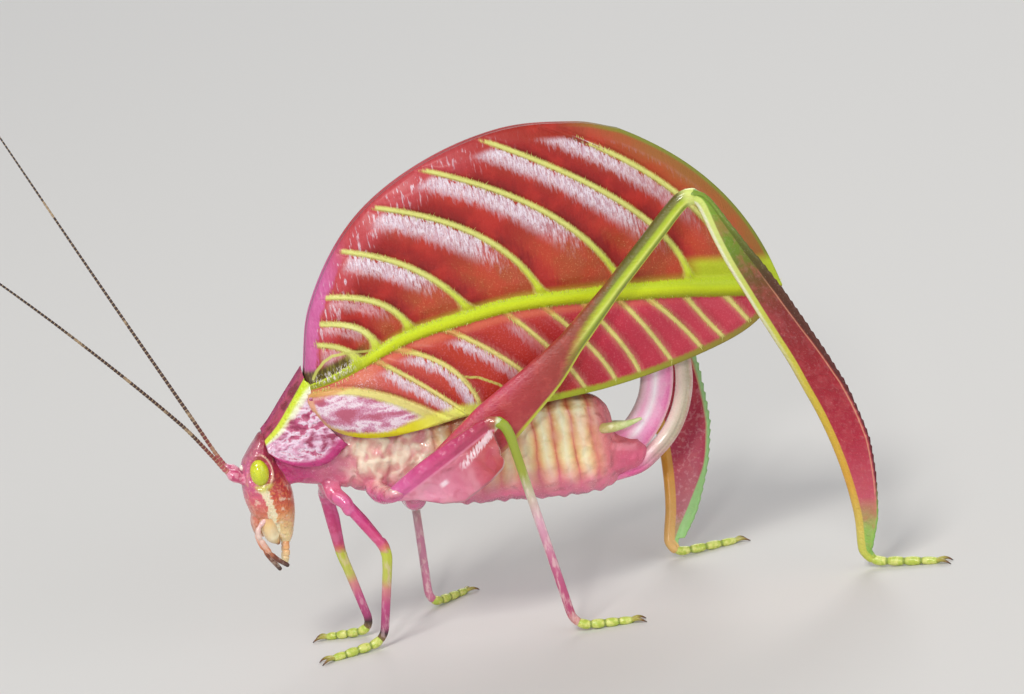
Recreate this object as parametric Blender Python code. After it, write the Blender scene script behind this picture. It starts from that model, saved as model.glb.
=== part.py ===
"""A leaf-mimicking katydid at life size, standing with its leaf-like wings folded.

Lengths are written in millimetres and become metres where a mesh is made.
The head looks along -X, the insect's left side faces -Y and it stands on z = 0.
"""
import math

import bmesh
import bpy
from mathutils import Vector

METRES_PER_MM = 0.001
# Neighbouring pieces keep this gap
GAP = 0.3
HALF_GAP = GAP / 2
# Middle of the model's box in the drawing, which becomes the origin
CENTRE = Vector((-5.12, 1.55, 0.0))
SHARP_ANGLE = math.radians(40)
BLUNT = 0.75

# Outline of a forewing in side view, as (x, z)
TOP_MARGIN = [
    (-13.95, 18.5), (-12.65, 23.1), (-9.1, 27.9), (-4.3, 30.75), (1.6, 32.15), (6.8, 31.65), (9.4, 30.75),
]
LOW_MARGIN = [
    (-14.05, 17.3), (-13.75, 16.1), (-13.1, 15.25), (-11.2, 14.45), (-7.6, 14.25), (-3.9, 14.55),
    (1.5, 14.35), (7.7, 14.55), (13.55, 15.45), (16.45, 16.5), (18.5, 18.45),
]
MIDRIB = [
    (-13.8, 18.15), (-12.4, 18.5), (-11.4, 18.8), (-9.95, 19.35), (-8.5, 19.95), (-7.0, 20.4), (-4.8, 20.75),
    (0.6, 21.1), (9.4, 20.1), (18.5, 18.45),
]
# Columns left of this one spring from the wing's base edge, the others from the midrib
BASE_M = -13.8
FRONT_M = -14.8
# Half of the spread of the folded wings along their lower margin, as (x, y)
SPREAD = [(-14.3, 1.75), (-12.0, 2.4), (-9.0, 2.9), (-3.0, 3.05), (5.0, 2.7), (12.0, 1.65), (18.5, 0.75)]
CREST_SPREAD = 0.65
WING_THICKNESS = 0.5
VEIN_RISE = 0.22
VEIN_HALF_WIDTH = 0.2
MIDRIB_RISE = 0.34
MIDRIB_HALF_WIDTH = [(-13.8, 0.15), (-8.0, 0.42), (4.0, 0.5), (16.0, 0.62), (18.5, 0.2)]
# Side veins: the place of their root on the midrib, that of their end on the margin, and how far along
# and up the way between the two the curve's control point lies. The wing's end columns follow the same way
UPPER_VEINS = [
    (-10.4, -13.4, 0.05, 0.9), (-9.1, -13.05, -0.05, 0.98), (-6.6, -12.3, 0.13, 0.97),
    (-2.5, -10.4, 0.3, 0.78), (2.35, -7.8, 0.17, 0.71), (7.8, -4.25, 0.16, 0.62), (12.3, 0.0, 0.0, 0.45),
    (15.8, 4.2, 0.09, 0.56),
]
LOWER_VEINS = [
    (-14.4, -5.6, 0.44, -0.25), (-9.6, -3.9, 0.5, 0.4), (-8.5, -3.05, 0.9, 0.25), (-5.1, 2.0, 0.5, 0.28),
    (-0.8, 4.05, 0.79, 0.59), (1.7, 6.1, 0.9, 0.65), (4.3, 7.8, 0.9, 0.65), (6.65, 10.2, 0.48, 0.32),
    (8.5, 12.4, 0.66, 0.49), (11.4, 14.1, 0.4, 0.5), (13.9, 16.0, 0.5, 0.45),
]
BASE_COLUMN = (-13.95, 0.05, 0.9)
FRONT_COLUMN = (-7.6, 0.12, 1.14)
REAR_BEND = (0.192, 0.649)
LOW_REAR_BEND = (0.5, 0.45)
UPPER_ROWS = 7
LOWER_ROWS = 4
WIDEST_COLUMN = 2.2
# Part of a vein's rise that is lost by its far end
VEIN_FADE = 0.7
# Most of a column's length that the midrib's slope may take
WIDEST_FOOT = 0.3
OUTLINE_POINTS = 60
REAR_POINTS = 20
# Points worked out between two given points of a smooth line
FINE_STEPS = 12

# Body sections, as (x, underside z, top z, half width)
THORAX = [
    (-15.75, 12.0, 14.1, 0.65), (-15.0, 11.7, 15.3, 0.85), (-14.0, 11.4, 16.3, 1.05),
    (-13.0, 11.0, 16.5, 1.3), (-12.0, 10.6, 16.2, 1.7), (-10.8, 10.15, 16.0, 2.05),
    (-9.2, 9.6, 15.8, 2.2), (-7.6, 9.0, 15.6, 2.25),
]
ABDOMEN = [
    (-7.3, 8.75, 15.6, 2.25), (-5.0, 8.1, 15.4, 2.3), (-2.0, 7.7, 15.1, 2.3), (1.5, 7.2, 14.5, 2.15),
    (3.6, 7.05, 14.0, 1.9), (4.8, 7.15, 13.55, 1.5), (5.5, 7.4, 12.9, 1.0),
]
ABDOMEN_RINGS = 9
ABDOMEN_PLEAT = 0.16
BODY_SIDES = 16

# Head sections from crown to mouth, as (z, front x, back x, half width)
HEAD = [
    (15.3, -17.85, -17.6, 0.3), (15.0, -18.05, -17.55, 0.7), (14.5, -18.5, -17.45, 1.05),
    (13.9, -18.95, -17.0, 1.25), (13.2, -19.1, -16.5, 1.45), (12.5, -19.18, -16.2, 1.55),
    (11.5, -19.2, -16.0, 1.6), (10.7, -19.05, -16.0, 1.5), (10.2, -19.0, -16.05, 1.38),
    (10.1, -17.1, -16.1, 1.2), (9.4, -17.1, -16.25, 1.0), (8.7, -17.1, -16.45, 0.8),
    (7.95, -17.2, -16.8, 0.4),
]
HEAD_SIDES = 18
EYE_PLACE = (-17.95, -1.28, 13.25)
EYE_RADII = (0.6, 0.52, 0.86)
EYE_SEGMENTS = 12
EYE_RINGS = 8

# Saddle over the front of the thorax: its crest, side keels and lower edges from front to back
SADDLE_CREST = [(-17.25, 0.0, 15.75), (-16.7, 0.0, 16.25), (-15.6, 0.0, 17.5), (-14.35, 0.0, 18.85)]
SADDLE_KEEL = [(-17.15, -1.15, 15.0), (-16.2, -1.25, 15.8), (-15.2, -1.35, 17.0), (-14.4, -1.35, 18.05)]
SADDLE_EDGE = [
    (-17.1, -1.45, 14.5), (-16.4, -1.7, 13.85), (-15.0, -1.85, 13.25), (-13.5, -2.0, 13.25),
    (-12.6, -2.1, 14.05),
]
SADDLE_HOLLOW_HIND_EDGE = 0.65
SADDLE_BULGE = 0.18
SADDLE_CREST_ROUND = 0.08
SADDLE_THICKNESS = 0.42
SADDLE_ROWS = 9
SADDLE_LOBE_ROWS = 4

# Each leg's joints: body socket, hip, knee, ankle and toe
LEGS = {
    "front_left": [
        (-13.4, -0.95, 10.75), (-12.85, -1.65, 10.2), (-10.9, -2.3, 6.6), (-12.2, -1.8, 0.7),
        (-15.6, -2.3, 0.2),
    ],
    "front_right": [
        (-13.7, 0.95, 10.85), (-13.85, 1.6, 10.25), (-13.5, 2.2, 6.0), (-12.7, 1.6, 0.7),
        (-15.5, 2.7, 0.2),
    ],
    "mid_left": [
        (-10.5, -2.15, 10.45), (-9.95, -4.2, 10.7), (-2.58, -6.1, 14.5), (0.1, -7.3, 0.7), (3.6, -7.9, 0.2),
    ],
    "mid_right": [
        (-10.5, 2.15, 10.45), (-9.95, 3.8, 10.6), (-7.3, 9.6, 13.4), (-7.8, 4.6, 0.7), (-5.2, 6.4, 0.2),
    ],
    "hind_left": [
        (-8.4, -2.45, 9.7), (-8.5, -3.5, 10.3), (12.27, -6.2, 26.45), (20.0, -7.4, 0.7), (23.9, -9.5, 0.2),
    ],
    "hind_right": [
        (-8.4, 2.45, 9.7), (-8.5, 3.4, 10.3), (7.9, 13.0, 26.3), (9.3, 4.0, 0.7), (13.8, 4.5, 0.2),
    ],
}
# The hind femora sag under a straight line by this much, at these parts of their length
HIND_FEMUR_SAG = [(0.0, 0.0), (0.45, 1.0), (0.7, 0.6), (1.0, 0.0)]
HIND_TIBIA_BOW = [
    (0.0, 0.0), (0.12, 0.0), (0.3, 0.5), (0.46, 1.0), (0.63, 1.3), (0.72, 1.3), (0.8, 1.15), (0.9, 0.8),
    (1.0, 0.0),
]
STRAIGHT = [(0.0, 0.0), (1.0, 0.0)]
# Side that each pair's thin lobe grows to
FEMUR_KEEL = Vector((0.6, 0.0, -0.8))
TIBIA_KEELS = {"left": Vector((0.55, -0.8, 0.3)), "right": Vector((1.0, -0.1, 0.3))}
DOWN = Vector((0.0, 0.0, -1.0))
REARWARD = Vector((1.0, 0.0, 0.0))
TIBIA_BOW_WAY = Vector((1.0, 0.0, 0.3))
# Reach of each limb from its middle line: up, down and sideways along its length
FRONT_FEMUR = ([(0, 0.4), (1, 0.32)], [(0, 0.5), (0.4, 0.62), (1, 0.34)], [(0, 0.38), (1, 0.3)])
FRONT_TIBIA = ([(0, 0.32), (1, 0.27)], [(0, 0.34), (0.3, 0.42), (1, 0.27)], [(0, 0.3), (1, 0.26)])
MID_FEMUR = (
    [(0, 0.45), (0.3, 0.6), (0.6, 0.55), (0.8, 0.4), (1, 0.34)],
    [(0, 0.5), (0.13, 1.3), (0.26, 2.5), (0.4, 3.25), (0.66, 3.25), (0.79, 3.05), (0.92, 1.7), (1, 0.4)],
    [(0, 0.42), (0.5, 0.42), (1, 0.32)],
)
# The right middle leg is bent further, so its lobe ends sooner
FOLDED_FEMUR = (
    [(0, 0.42), (1, 0.34)],
    [(0, 0.6), (0.12, 1.7), (0.25, 2.4), (0.45, 2.6), (0.62, 1.6), (0.76, 0.6), (0.88, 0.38), (1, 0.34)],
    [(0, 0.42), (0.5, 0.42), (1, 0.32)],
)
MID_TIBIA = ([(0, 0.34), (1, 0.28)], [(0, 0.34), (1, 0.28)], [(0, 0.32), (1, 0.27)])
HIND_FEMUR = (
    [(0, 0.5), (0.1, 1.15), (0.26, 1.38), (0.44, 1.1), (0.53, 0.7), (0.7, 0.52), (0.9, 0.56), (1, 0.48)],
    [(0, 0.6), (0.1, 1.6), (0.2, 2.0), (0.26, 2.05), (0.35, 1.72), (0.53, 1.05), (0.7, 0.68), (1, 0.56)],
    [(0, 0.45), (0.2, 0.6), (0.5, 0.48), (0.7, 0.42), (1, 0.44)],
)
HIND_TIBIA_LOBES = {
    "left": [
        (0, 0.5), (0.04, 0.9), (0.12, 1.7), (0.21, 2.35), (0.3, 2.7), (0.46, 2.95), (0.55, 3.15), (0.7, 2.9),
        (0.8, 2.25), (0.89, 1.6), (0.97, 0.8), (1, 0.4),
    ],
    "right": [
        (0, 0.5), (0.05, 0.9), (0.15, 2.0), (0.3, 3.0), (0.46, 3.65), (0.56, 3.85), (0.7, 3.55), (0.8, 2.85),
        (0.89, 2.0), (0.97, 1.1), (1, 0.4),
    ],
}
HIND_TIBIA = ([(0, 0.42), (1, 0.34)], HIND_TIBIA_LOBES["left"], [(0, 0.4), (1, 0.32)])
# Each pair's femur, tibia, their finishes, and rings along each
LIMB_KINDS = {
    "front": (FRONT_FEMUR, FRONT_TIBIA, "limb_magenta", "limb_magenta", 4),
    "mid": (MID_FEMUR, MID_TIBIA, "body_pink", "limb_green", 7),
    "hind": (HIND_FEMUR, HIND_TIBIA, "wing_red", "limb_green", 11),
}
COXA = {"front": (0.5, 0.42), "mid": (0.55, 0.45), "hind": (0.75, 0.52)}
TARSUS_RADIUS = 0.3
TARSUS_BEADS = 4
TARSUS_RINGS = 9
# Parts of the radius: between beads, added at their middle, and lost by the tip
BEAD_NECK = 0.82
BEAD_SWELL = 0.25
TARSUS_TAPER = 0.25
CLAW_LENGTH = 0.85
CLAW_SPREAD = 0.42
CLAW_ROOT = 0.2
CLAW_RADII = [(0, 0.15), (0.4, 0.15), (1, 0.06)]
CLAW_RINGS = 5
CLAW_SIDES = 6
# A claw's bend, as parts of its length and of its spread
CLAW_BEND = (0.45, 0.7)
LIMB_SIDES = 10
CORNER_REACH = {"front": 0.7, "mid_left": 1.6, "mid_right": 2.6, "hind_left": 1.6, "hind_right": 3.2}
ANKLE_REACH = 0.9

# Feelers, mouthparts and tail, as paths from root to tip on the left side
SCAPE = [(-19.52, -0.65, 13.22), (-19.87, -0.8, 13.57)]
SCAPE_RADII = [(0, 0.4), (0.6, 0.42), (1, 0.3)]
FEELER_LEFT = [(-20.1, -0.9, 13.85), (-22.4, -2.0, 17.7), (-28.5, -4.4, 25.7), (-35.0, -6.8, 33.4)]
FEELER_RIGHT = [(-20.1, 0.9, 13.85), (-21.6, 1.3, 17.4), (-26.0, 3.0, 27.7), (-30.3, 4.6, 38.0)]
FEELER_RADII = [(0, 0.27), (0.8, 0.25), (1, 0.12)]
FEELER_RINGS = 18
LABRUM = [(9.87, -19.1, -18.62, 0.75), (9.4, -19.05, -18.6, 0.72), (8.95, -18.95, -18.6, 0.5)]
MANDIBLE = [(-17.85, -0.68, 9.87), (-17.88, -0.66, 9.0), (-17.75, -0.5, 8.25)]
MANDIBLE_RADII = [(0, 0.45), (0.5, 0.44), (1, 0.2)]
LONG_PALPS = {
    "left": [(-18.55, -1.3, 9.85), (-18.75, -1.4, 9.0), (-18.3, -1.25, 7.9), (-17.4, -1.1, 6.8)],
    "right": [(-18.55, 1.3, 9.85), (-18.8, 1.35, 8.6), (-18.4, 1.15, 7.2), (-17.75, 0.95, 6.0)],
}
SHORT_PALP = [(-17.05, -0.5, 7.6), (-17.2, -0.5, 7.15), (-17.35, -0.45, 6.7)]
PALP_RADII = [(0, 0.25), (0.85, 0.25), (1, 0.14)]
CERCI = {
    "left": [(5.35, -1.78, 11.5), (6.4, -1.75, 11.52), (7.4, -1.6, 11.65)],
    "right": [(5.35, 1.78, 10.9), (6.4, 1.75, 10.8), (7.4, 1.6, 10.75)],
}
CERCUS_RADII = [(0, 0.34), (0.4, 0.34), (1, 0.13)]
# Egg-laying blade, curled up: the middle line, half width and half thickness of its two valves
INNER_VALVE = [
    (6.0, 0, 9.87), (6.6, 0, 10.0), (7.35, 0, 10.45), (8.3, 0, 11.5), (8.95, 0, 12.7), (9.3, 0, 14.2),
    (9.3, 0, 15.6), (9.0, 0, 17.8),
]
INNER_HALF_WIDTH = [(0, 1.02), (0.7, 1.0), (0.9, 0.65), (1, 0.25)]
OUTER_VALVE = [
    (5.85, 0, 8.04), (7.12, 0, 8.21), (8.15, 0, 8.8), (9.4, 0, 9.8), (10.26, 0, 10.97), (10.84, 0, 12.33),
    (11.11, 0, 13.7), (11.06, 0, 15.4), (10.35, 0, 18.0),
]
OUTER_HALF_WIDTH = [(0, 0.5), (0.8, 0.5), (1, 0.22)]
VALVE_HALF_THICKNESS = [(0, 0.55), (0.6, 0.45), (1, 0.26)]
VALVE_RINGS = 15
# The valves' half widths are measured this way across the blade
VALVE_WIDTH_WAY = Vector((1.0, 0.0, -1.0))

# Finish of each kind of surface: colour, roughness and coat
FINISHES = {
    "wing_red": ((0.55, 0.07, 0.07), 0.4, 0.3),
    "body_cream": ((0.72, 0.45, 0.27), 0.4, 0.3),
    "body_pink": ((0.7, 0.25, 0.3), 0.35, 0.4),
    "saddle_magenta": ((0.6, 0.16, 0.24), 0.25, 0.6),
    "head_pink": ((0.66, 0.22, 0.2), 0.4, 0.3),
    "eye_yellow": ((0.75, 0.75, 0.08), 0.2, 0.8),
    "limb_magenta": ((0.5, 0.12, 0.2), 0.4, 0.3),
    "limb_green": ((0.5, 0.6, 0.12), 0.4, 0.3),
    "mouth_tan": ((0.45, 0.22, 0.1), 0.4, 0.3),
    "feeler_brown": ((0.18, 0.1, 0.06), 0.5, 0.0),
}


def remove_old_objects():
    for old in list(bpy.data.objects):
        bpy.data.objects.remove(old, do_unlink=True)


def finish(name, node_name):
    """A material of one of the kinds above, for one node."""
    colour, roughness, coat = FINISHES[name]
    material = bpy.data.materials.new(node_name + "_" + name)
    material.use_nodes = True
    shader = material.node_tree.nodes["Principled BSDF"]
    shader.inputs["Base Color"].default_value = (*colour, 1.0)
    shader.inputs["Roughness"].default_value = roughness
    shader.inputs["Metallic"].default_value = 0.0
    shader.inputs["Coat Weight"].default_value = coat
    return material


def add_node(name, shape, finish_name):
    """An object of the shape (points in millimetres, and faces) with its faces turned out."""
    points, faces = shape
    mesh = bpy.data.meshes.new(name)
    mesh.from_pydata([(Vector(p) - CENTRE) * METRES_PER_MM for p in points], [], faces)
    work = bmesh.new()
    work.from_mesh(mesh)
    bmesh.ops.recalc_face_normals(work, faces=work.faces)
    work.to_mesh(mesh)
    work.free()
    mesh.materials.append(finish(finish_name, name))
    mesh.shade_smooth()
    mesh.set_sharp_from_angle(angle=SHARP_ANGLE)
    node = bpy.data.objects.new(name, mesh)
    bpy.context.scene.collection.objects.link(node)
    return node


def read_table(table, x):
    """Straight-line reading between the rows of a table of (x, value)."""
    if x <= table[0][0]:
        return table[0][1]
    for (x0, low), (x1, high) in zip(table, table[1:]):
        if x <= x1:
            return low + (high - low) * (x - x0) / (x1 - x0)
    return table[-1][1]


def smooth_line(points, count):
    """Evenly spaced points on a smooth curve through the given ones."""
    points = [Vector(p) for p in points]
    dense = []
    for i in range(len(points) - 1):
        before = points[max(i - 1, 0)]
        start = points[i]
        stop = points[i + 1]
        after = points[min(i + 2, len(points) - 1)]
        span = (stop - start).length
        leave = (stop - before).normalized() * span
        arrive = (after - start).normalized() * span
        for step in range(FINE_STEPS):
            t = step / FINE_STEPS
            dense.append(
                start * (2 * t**3 - 3 * t**2 + 1) + leave * (t**3 - 2 * t**2 + t)
                + stop * (3 * t**2 - 2 * t**3) + arrive * (t**3 - t**2)
            )
    dense.append(points[-1])
    return respace(dense, count)


def respace(line, count):
    """The same line with its points at equal distances."""
    marks = distances(line)
    placed = []
    for i in range(count):
        goal = marks[-1] * i / (count - 1)
        k = 0
        while k < len(line) - 2 and marks[k + 1] < goal:
            k += 1
        part = (goal - marks[k]) / (marks[k + 1] - marks[k])
        placed.append(line[k].lerp(line[k + 1], part))
    return placed


def distances(line):
    """Distance of each point from the start, along the line."""
    marks = [0.0]
    for a, b in zip(line, line[1:]):
        marks.append(marks[-1] + (b - a).length)
    return marks


def loft(rings):
    """Skin over a row of rings, closed by a flat face at each end."""
    sides = len(rings[0])
    points = [p for ring in rings for p in ring]
    faces = [list(range(sides)), list(range(len(points) - sides, len(points)))]
    for r in range(len(rings) - 1):
        for j in range(sides):
            k = (j + 1) % sides
            low = r * sides
            faces.append([low + j, low + k, low + sides + k, low + sides + j])
    return points, faces


def sweep(line, reaches, keel=DOWN, sides=LIMB_SIDES, start_way=None, end_way=None, floor=False):
    """Tube along a line. Its rings reach up, down (to the keel's side) and sideways."""
    up, down, aside = reaches
    marks = distances(line)
    rings = []
    for i, place in enumerate(line):
        part = marks[i] / marks[-1]
        way = line[min(i + 1, len(line) - 1)] - line[max(i - 1, 0)]
        if i == 0 and start_way:
            way = start_way
        if i == len(line) - 1 and end_way:
            way = end_way
        way = way.normalized()
        below = (keel - way * keel.dot(way)).normalized()
        across = way.cross(below)
        ring = []
        for j in range(sides):
            turn = 2 * math.pi * (j + 0.5) / sides
            along = math.cos(turn) * read_table(down if math.cos(turn) > 0 else up, part)
            out = math.copysign(abs(math.sin(turn)) ** BLUNT, math.sin(turn)) * read_table(aside, part)
            point = place + below * along + across * out
            if floor:
                point.z = max(point.z, 0.0)
            ring.append(point)
        rings.append(ring)
    return loft(rings)


def round_tube(points, radii, rings, sides=LIMB_SIDES, **ways):
    return sweep(smooth_line(points, rings), (radii, radii, radii), sides=sides, **ways)


def mirrored(points):
    return [(x, -y, z) for x, y, z in points]


def oval_ring(x, low, high, half_width, sides=BODY_SIDES):
    """Ring of the body, upright and across it."""
    middle = (low + high) / 2
    ring = []
    for j in range(sides):
        turn = 2 * math.pi * j / sides
        side = math.copysign(abs(math.sin(turn)) ** BLUNT, math.sin(turn))
        ring.append(Vector((x, side * half_width, middle + math.cos(turn) * (high - low) / 2)))
    return ring


def level_ring(z, front, back, half_width, sides=HEAD_SIDES):
    """Level ring of the head."""
    ring = []
    for j in range(sides):
        turn = 2 * math.pi * j / sides
        along = math.copysign(abs(math.cos(turn)) ** BLUNT, math.cos(turn)) * (front - back) / 2
        ring.append(Vector(((front + back) / 2 + along, math.sin(turn) * half_width, z)))
    return ring


def outline_table(points):
    """Smooth outline through (x, z) points, as a finer table."""
    line = smooth_line([(x, 0, z) for x, z in points], OUTLINE_POINTS)
    return [(p.x, p.z) for p in line]


def bent(start, end, bend, t):
    """Point at t of the curve from start to end whose control point lies `bend` of the way."""
    control = [start[k] + bend[k] * (end[k] - start[k]) for k in (0, 1)]
    return tuple((1 - t) ** 2 * start[k] + 2 * t * (1 - t) * control[k] + t**2 * end[k] for k in (0, 1))


TOP_TABLE = outline_table(TOP_MARGIN)
LOW_TABLE = outline_table(LOW_MARGIN)
MIDRIB_TABLE = outline_table(MIDRIB)
REAR_TABLE = [
    bent(MIDRIB[-1], TOP_MARGIN[-1], REAR_BEND, 1 - i / REAR_POINTS) for i in range(REAR_POINTS + 1)
]
CREST_TABLE = TOP_TABLE + REAR_TABLE[1:]
UPPER_WAYS = [(BASE_M, *BASE_COLUMN), *UPPER_VEINS, (MIDRIB[-1][0], TOP_MARGIN[-1][0], *REAR_BEND)]
LOWER_WAYS = [(FRONT_M, *FRONT_COLUMN), *LOWER_VEINS, (MIDRIB[-1][0], LOW_MARGIN[-1][0], *LOW_REAR_BEND)]


def wing_root(m):
    """Place (x, z) on the base edge or the midrib where a column starts."""
    if m >= BASE_M:
        return m, read_table(MIDRIB_TABLE, m)
    part = (m - FRONT_M) / (BASE_M - FRONT_M)
    return tuple(LOW_MARGIN[0][k] + part * (MIDRIB[0][k] - LOW_MARGIN[0][k]) for k in (0, 1))


def field_point(ways, margin, m, t):
    """Place (x, z) at share t of the way from the midrib to the margin, along column m."""
    end_x, along, up = (read_table([(way[0], way[k]) for way in ways], m) for k in (1, 2, 3))
    return bent(wing_root(m), (end_x, read_table(margin, end_x)), (along, up), t)


def upper_point(m, t):
    return field_point(UPPER_WAYS, TOP_TABLE, m, t)


def lower_point(m, t):
    return field_point(LOWER_WAYS, LOW_TABLE, m, t)


def half_spread(x, z):
    """Distance of a forewing's outer face from the middle of the body."""
    top = read_table(CREST_TABLE, x)
    low = read_table(LOW_TABLE, x)
    height = min(max((top - z) / max(top - low, GAP), 0.0), 1.0)
    return CREST_SPREAD + (read_table(SPREAD, x) - CREST_SPREAD) * (1 - (1 - height) ** 2)


def wing_columns():
    """Places of the grid's columns: both feet and the crest of each vein, and fillers."""
    places = {FRONT_M, BASE_M, MIDRIB[-1][0]}
    for root, *_ in UPPER_VEINS + LOWER_VEINS:
        places |= {root - VEIN_HALF_WIDTH, root, root + VEIN_HALF_WIDTH}
    places = sorted(places)
    for a, b in zip(list(places), places[1:]):
        if b - a > WIDEST_COLUMN:
            places.append((a + b) / 2)
    return sorted(places)


def rim(triangles):
    """Edges that only one triangle of a sheet uses."""
    edges = set()
    for corners in triangles:
        edges |= {(corners[k - 1], corners[k]) for k in range(3)}
    return [edge for edge in sorted(edges) if edge[::-1] not in edges]


def relief(m, t, crests):
    """Height of the midrib or a side vein over the wing's face, at a point of the grid."""
    if t == 0:
        share = read_table(MIDRIB_HALF_WIDTH, m) / MIDRIB_HALF_WIDTH[-2][1]
        return MIDRIB_RISE * share if m > BASE_M else 0.0
    return VEIN_RISE * (1 - VEIN_FADE * t) if m in crests else 0.0


def wing(side):
    """Folded forewing: a thin curved leaf with its midrib and side veins raised on its outer face."""
    numbers = {}
    rises = []
    triangles = []

    def vertex(point, rise):
        key = (round(point[0], 3), round(point[1], 3))
        if key not in numbers:
            numbers[key] = len(rises)
            rises.append(rise)
        return numbers[key]

    def field(point_at, veins, rows, columns, turn):
        crests = {root for root, *_ in veins}
        grid = []
        for m in columns:
            length = max(math.dist(point_at(m, 0), point_at(m, 1)), GAP)
            foot = min(read_table(MIDRIB_HALF_WIDTH, m) / length, WIDEST_FOOT)
            stops = [0.0] + [foot + (1 - foot) * r / rows for r in range(rows + 1)]
            grid.append([vertex(point_at(m, t), relief(m, t, crests)) for t in stops])
        for a, b in zip(grid, grid[1:]):
            for r in range(rows + 1):
                for corners in ((a[r], b[r], b[r + 1]), (a[r], b[r + 1], a[r + 1])):
                    if len(set(corners)) == 3:
                        triangles.append(corners[::turn])

    columns = wing_columns()
    field(upper_point, UPPER_VEINS, UPPER_ROWS, [m for m in columns if m >= BASE_M], 1)
    field(lower_point, LOWER_VEINS, LOWER_ROWS, columns, -1)
    points = [(x, side * (half_spread(x, z) + rise), z) for (x, z), rise in zip(numbers, rises)]
    points += [(x, side * (half_spread(x, z) - WING_THICKNESS), z) for x, z in numbers]
    back = len(numbers)
    faces = [list(c) for c in triangles] + [[i + back for i in c[::-1]] for c in triangles]
    faces += [[b, a, a + back, b + back] for a, b in rim(triangles)]
    return points, faces


def saddle():
    """Shield over the front of the thorax: a curved plate with keels and a drooping lobe each side."""
    crest = smooth_line(SADDLE_CREST, SADDLE_ROWS)
    keel = smooth_line(SADDLE_KEEL, SADDLE_ROWS)
    edge = smooth_line(SADDLE_EDGE, SADDLE_ROWS)
    outer = []
    for i in range(SADDLE_ROWS):
        hind = (i / (SADDLE_ROWS - 1)) ** 3
        half = [crest[i].lerp(keel[i], 0.5) + Vector((0, 0, SADDLE_CREST_ROUND))]
        for r in range(SADDLE_LOBE_ROWS + 1):
            part = r / SADDLE_LOBE_ROWS
            bow = math.sin(math.pi * part)
            point = keel[i].lerp(edge[i], part)
            half.append(point + Vector((-SADDLE_HOLLOW_HIND_EDGE * bow * hind, -SADDLE_BULGE * bow, 0)))
        outer.append([Vector(p) for p in mirrored(half[::-1])] + [crest[i]] + half)
    count = len(outer[0])
    inner = []
    for row in outer:
        middle = Vector((row[count // 2].x, 0, row[0].z))
        shrunk = []
        for p in row:
            toward = Vector((0, middle.y - p.y, (middle.z - p.z) * 0.6)).normalized()
            shrunk.append(p + toward * SADDLE_THICKNESS)
        inner.append(shrunk)
    return loft([row + under[::-1] for row, under in zip(outer, inner)])


def corner(before, joint, after, reach):
    """Rounded corner whose middle is the joint: the points into it, out of it, and its heading."""
    into = (joint - before).normalized()
    out = (after - joint).normalized()
    peak = joint - (out - into) * reach / 4
    first = peak - into * reach
    last = peak + out * reach
    heading = (last - first).normalized()
    early = first * 0.5625 + peak * 0.375 + last * 0.0625
    late = first * 0.0625 + peak * 0.375 + last * 0.5625
    return [first, early, joint - heading * HALF_GAP], [joint + heading * HALF_GAP, late, last], heading


def limb(inward, outward, rings, sag, sag_way):
    """Line of a limb between two corners, bent aside by `sag`."""
    start, end = inward[-1], outward[0]
    middle = []
    for i in range(1, rings):
        part = i / rings
        middle.append(start.lerp(end, part) + sag_way * read_table(sag, part))
    return inward + middle + outward


def leg(pair, side):
    """The four nodes of one leg, from its socket in the thorax to the toe."""
    key = pair + "_" + side
    socket, hip, knee, ankle, toe = [Vector(p) for p in LEGS[key]]
    reach = CORNER_REACH.get(key, CORNER_REACH.get(pair))
    hip_way = ((hip - socket).normalized() + (knee - hip).normalized()).normalized()
    wide, narrow = COXA[pair]
    radii = [(0, wide), (1, narrow)]
    coxa_line = [socket, socket.lerp(hip, 0.5), hip - hip_way * HALF_GAP]
    add_node("coxa_" + key, sweep(coxa_line, (radii, radii, radii), end_way=hip_way), "body_pink")

    into_knee, out_of_knee, knee_way = corner(hip, knee, ankle, reach)
    into_ankle, out_of_ankle, ankle_way = corner(knee, ankle, toe, ANKLE_REACH)
    femur, tibia, femur_finish, tibia_finish, rings = LIMB_KINDS[pair]
    if key == "mid_right":
        femur = FOLDED_FEMUR
    hind = pair == "hind"
    keel = DOWN if pair == "mid" else FEMUR_KEEL
    line = limb([hip + hip_way * HALF_GAP], into_knee, rings, HIND_FEMUR_SAG if hind else STRAIGHT, keel)
    add_node("femur_" + key, sweep(line, femur, keel, start_way=hip_way, end_way=knee_way), femur_finish)
    keel = REARWARD
    if hind:
        keel = TIBIA_KEELS[side]
        tibia = (tibia[0], HIND_TIBIA_LOBES[side], tibia[2])
    line = limb(out_of_knee, into_ankle, rings, HIND_TIBIA_BOW if hind else STRAIGHT, TIBIA_BOW_WAY)
    add_node("tibia_" + key, sweep(line, tibia, keel, start_way=knee_way, end_way=ankle_way), tibia_finish)
    tarsus = add_node("tarsus_" + key, foot(out_of_ankle, toe, ankle_way), "limb_green")
    fuse(tarsus, claws(toe, (toe - out_of_ankle[-1]).normalized()))


def foot(out_of_ankle, toe, ankle_way):
    """Beaded foot with its underside pressed flat on the floor."""
    line = out_of_ankle + [out_of_ankle[-1].lerp(toe, i / TARSUS_RINGS) for i in range(1, TARSUS_RINGS + 1)]
    marks = distances(line)
    beads = []
    for mark in marks:
        part = mark / marks[-1]
        swell = abs(math.sin(math.pi * TARSUS_BEADS * part))
        beads.append((part, TARSUS_RADIUS * (BEAD_NECK + BEAD_SWELL * swell) * (1 - TARSUS_TAPER * part**3)))
    return sweep(line, (beads, beads, beads), start_way=ankle_way, floor=True)


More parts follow.
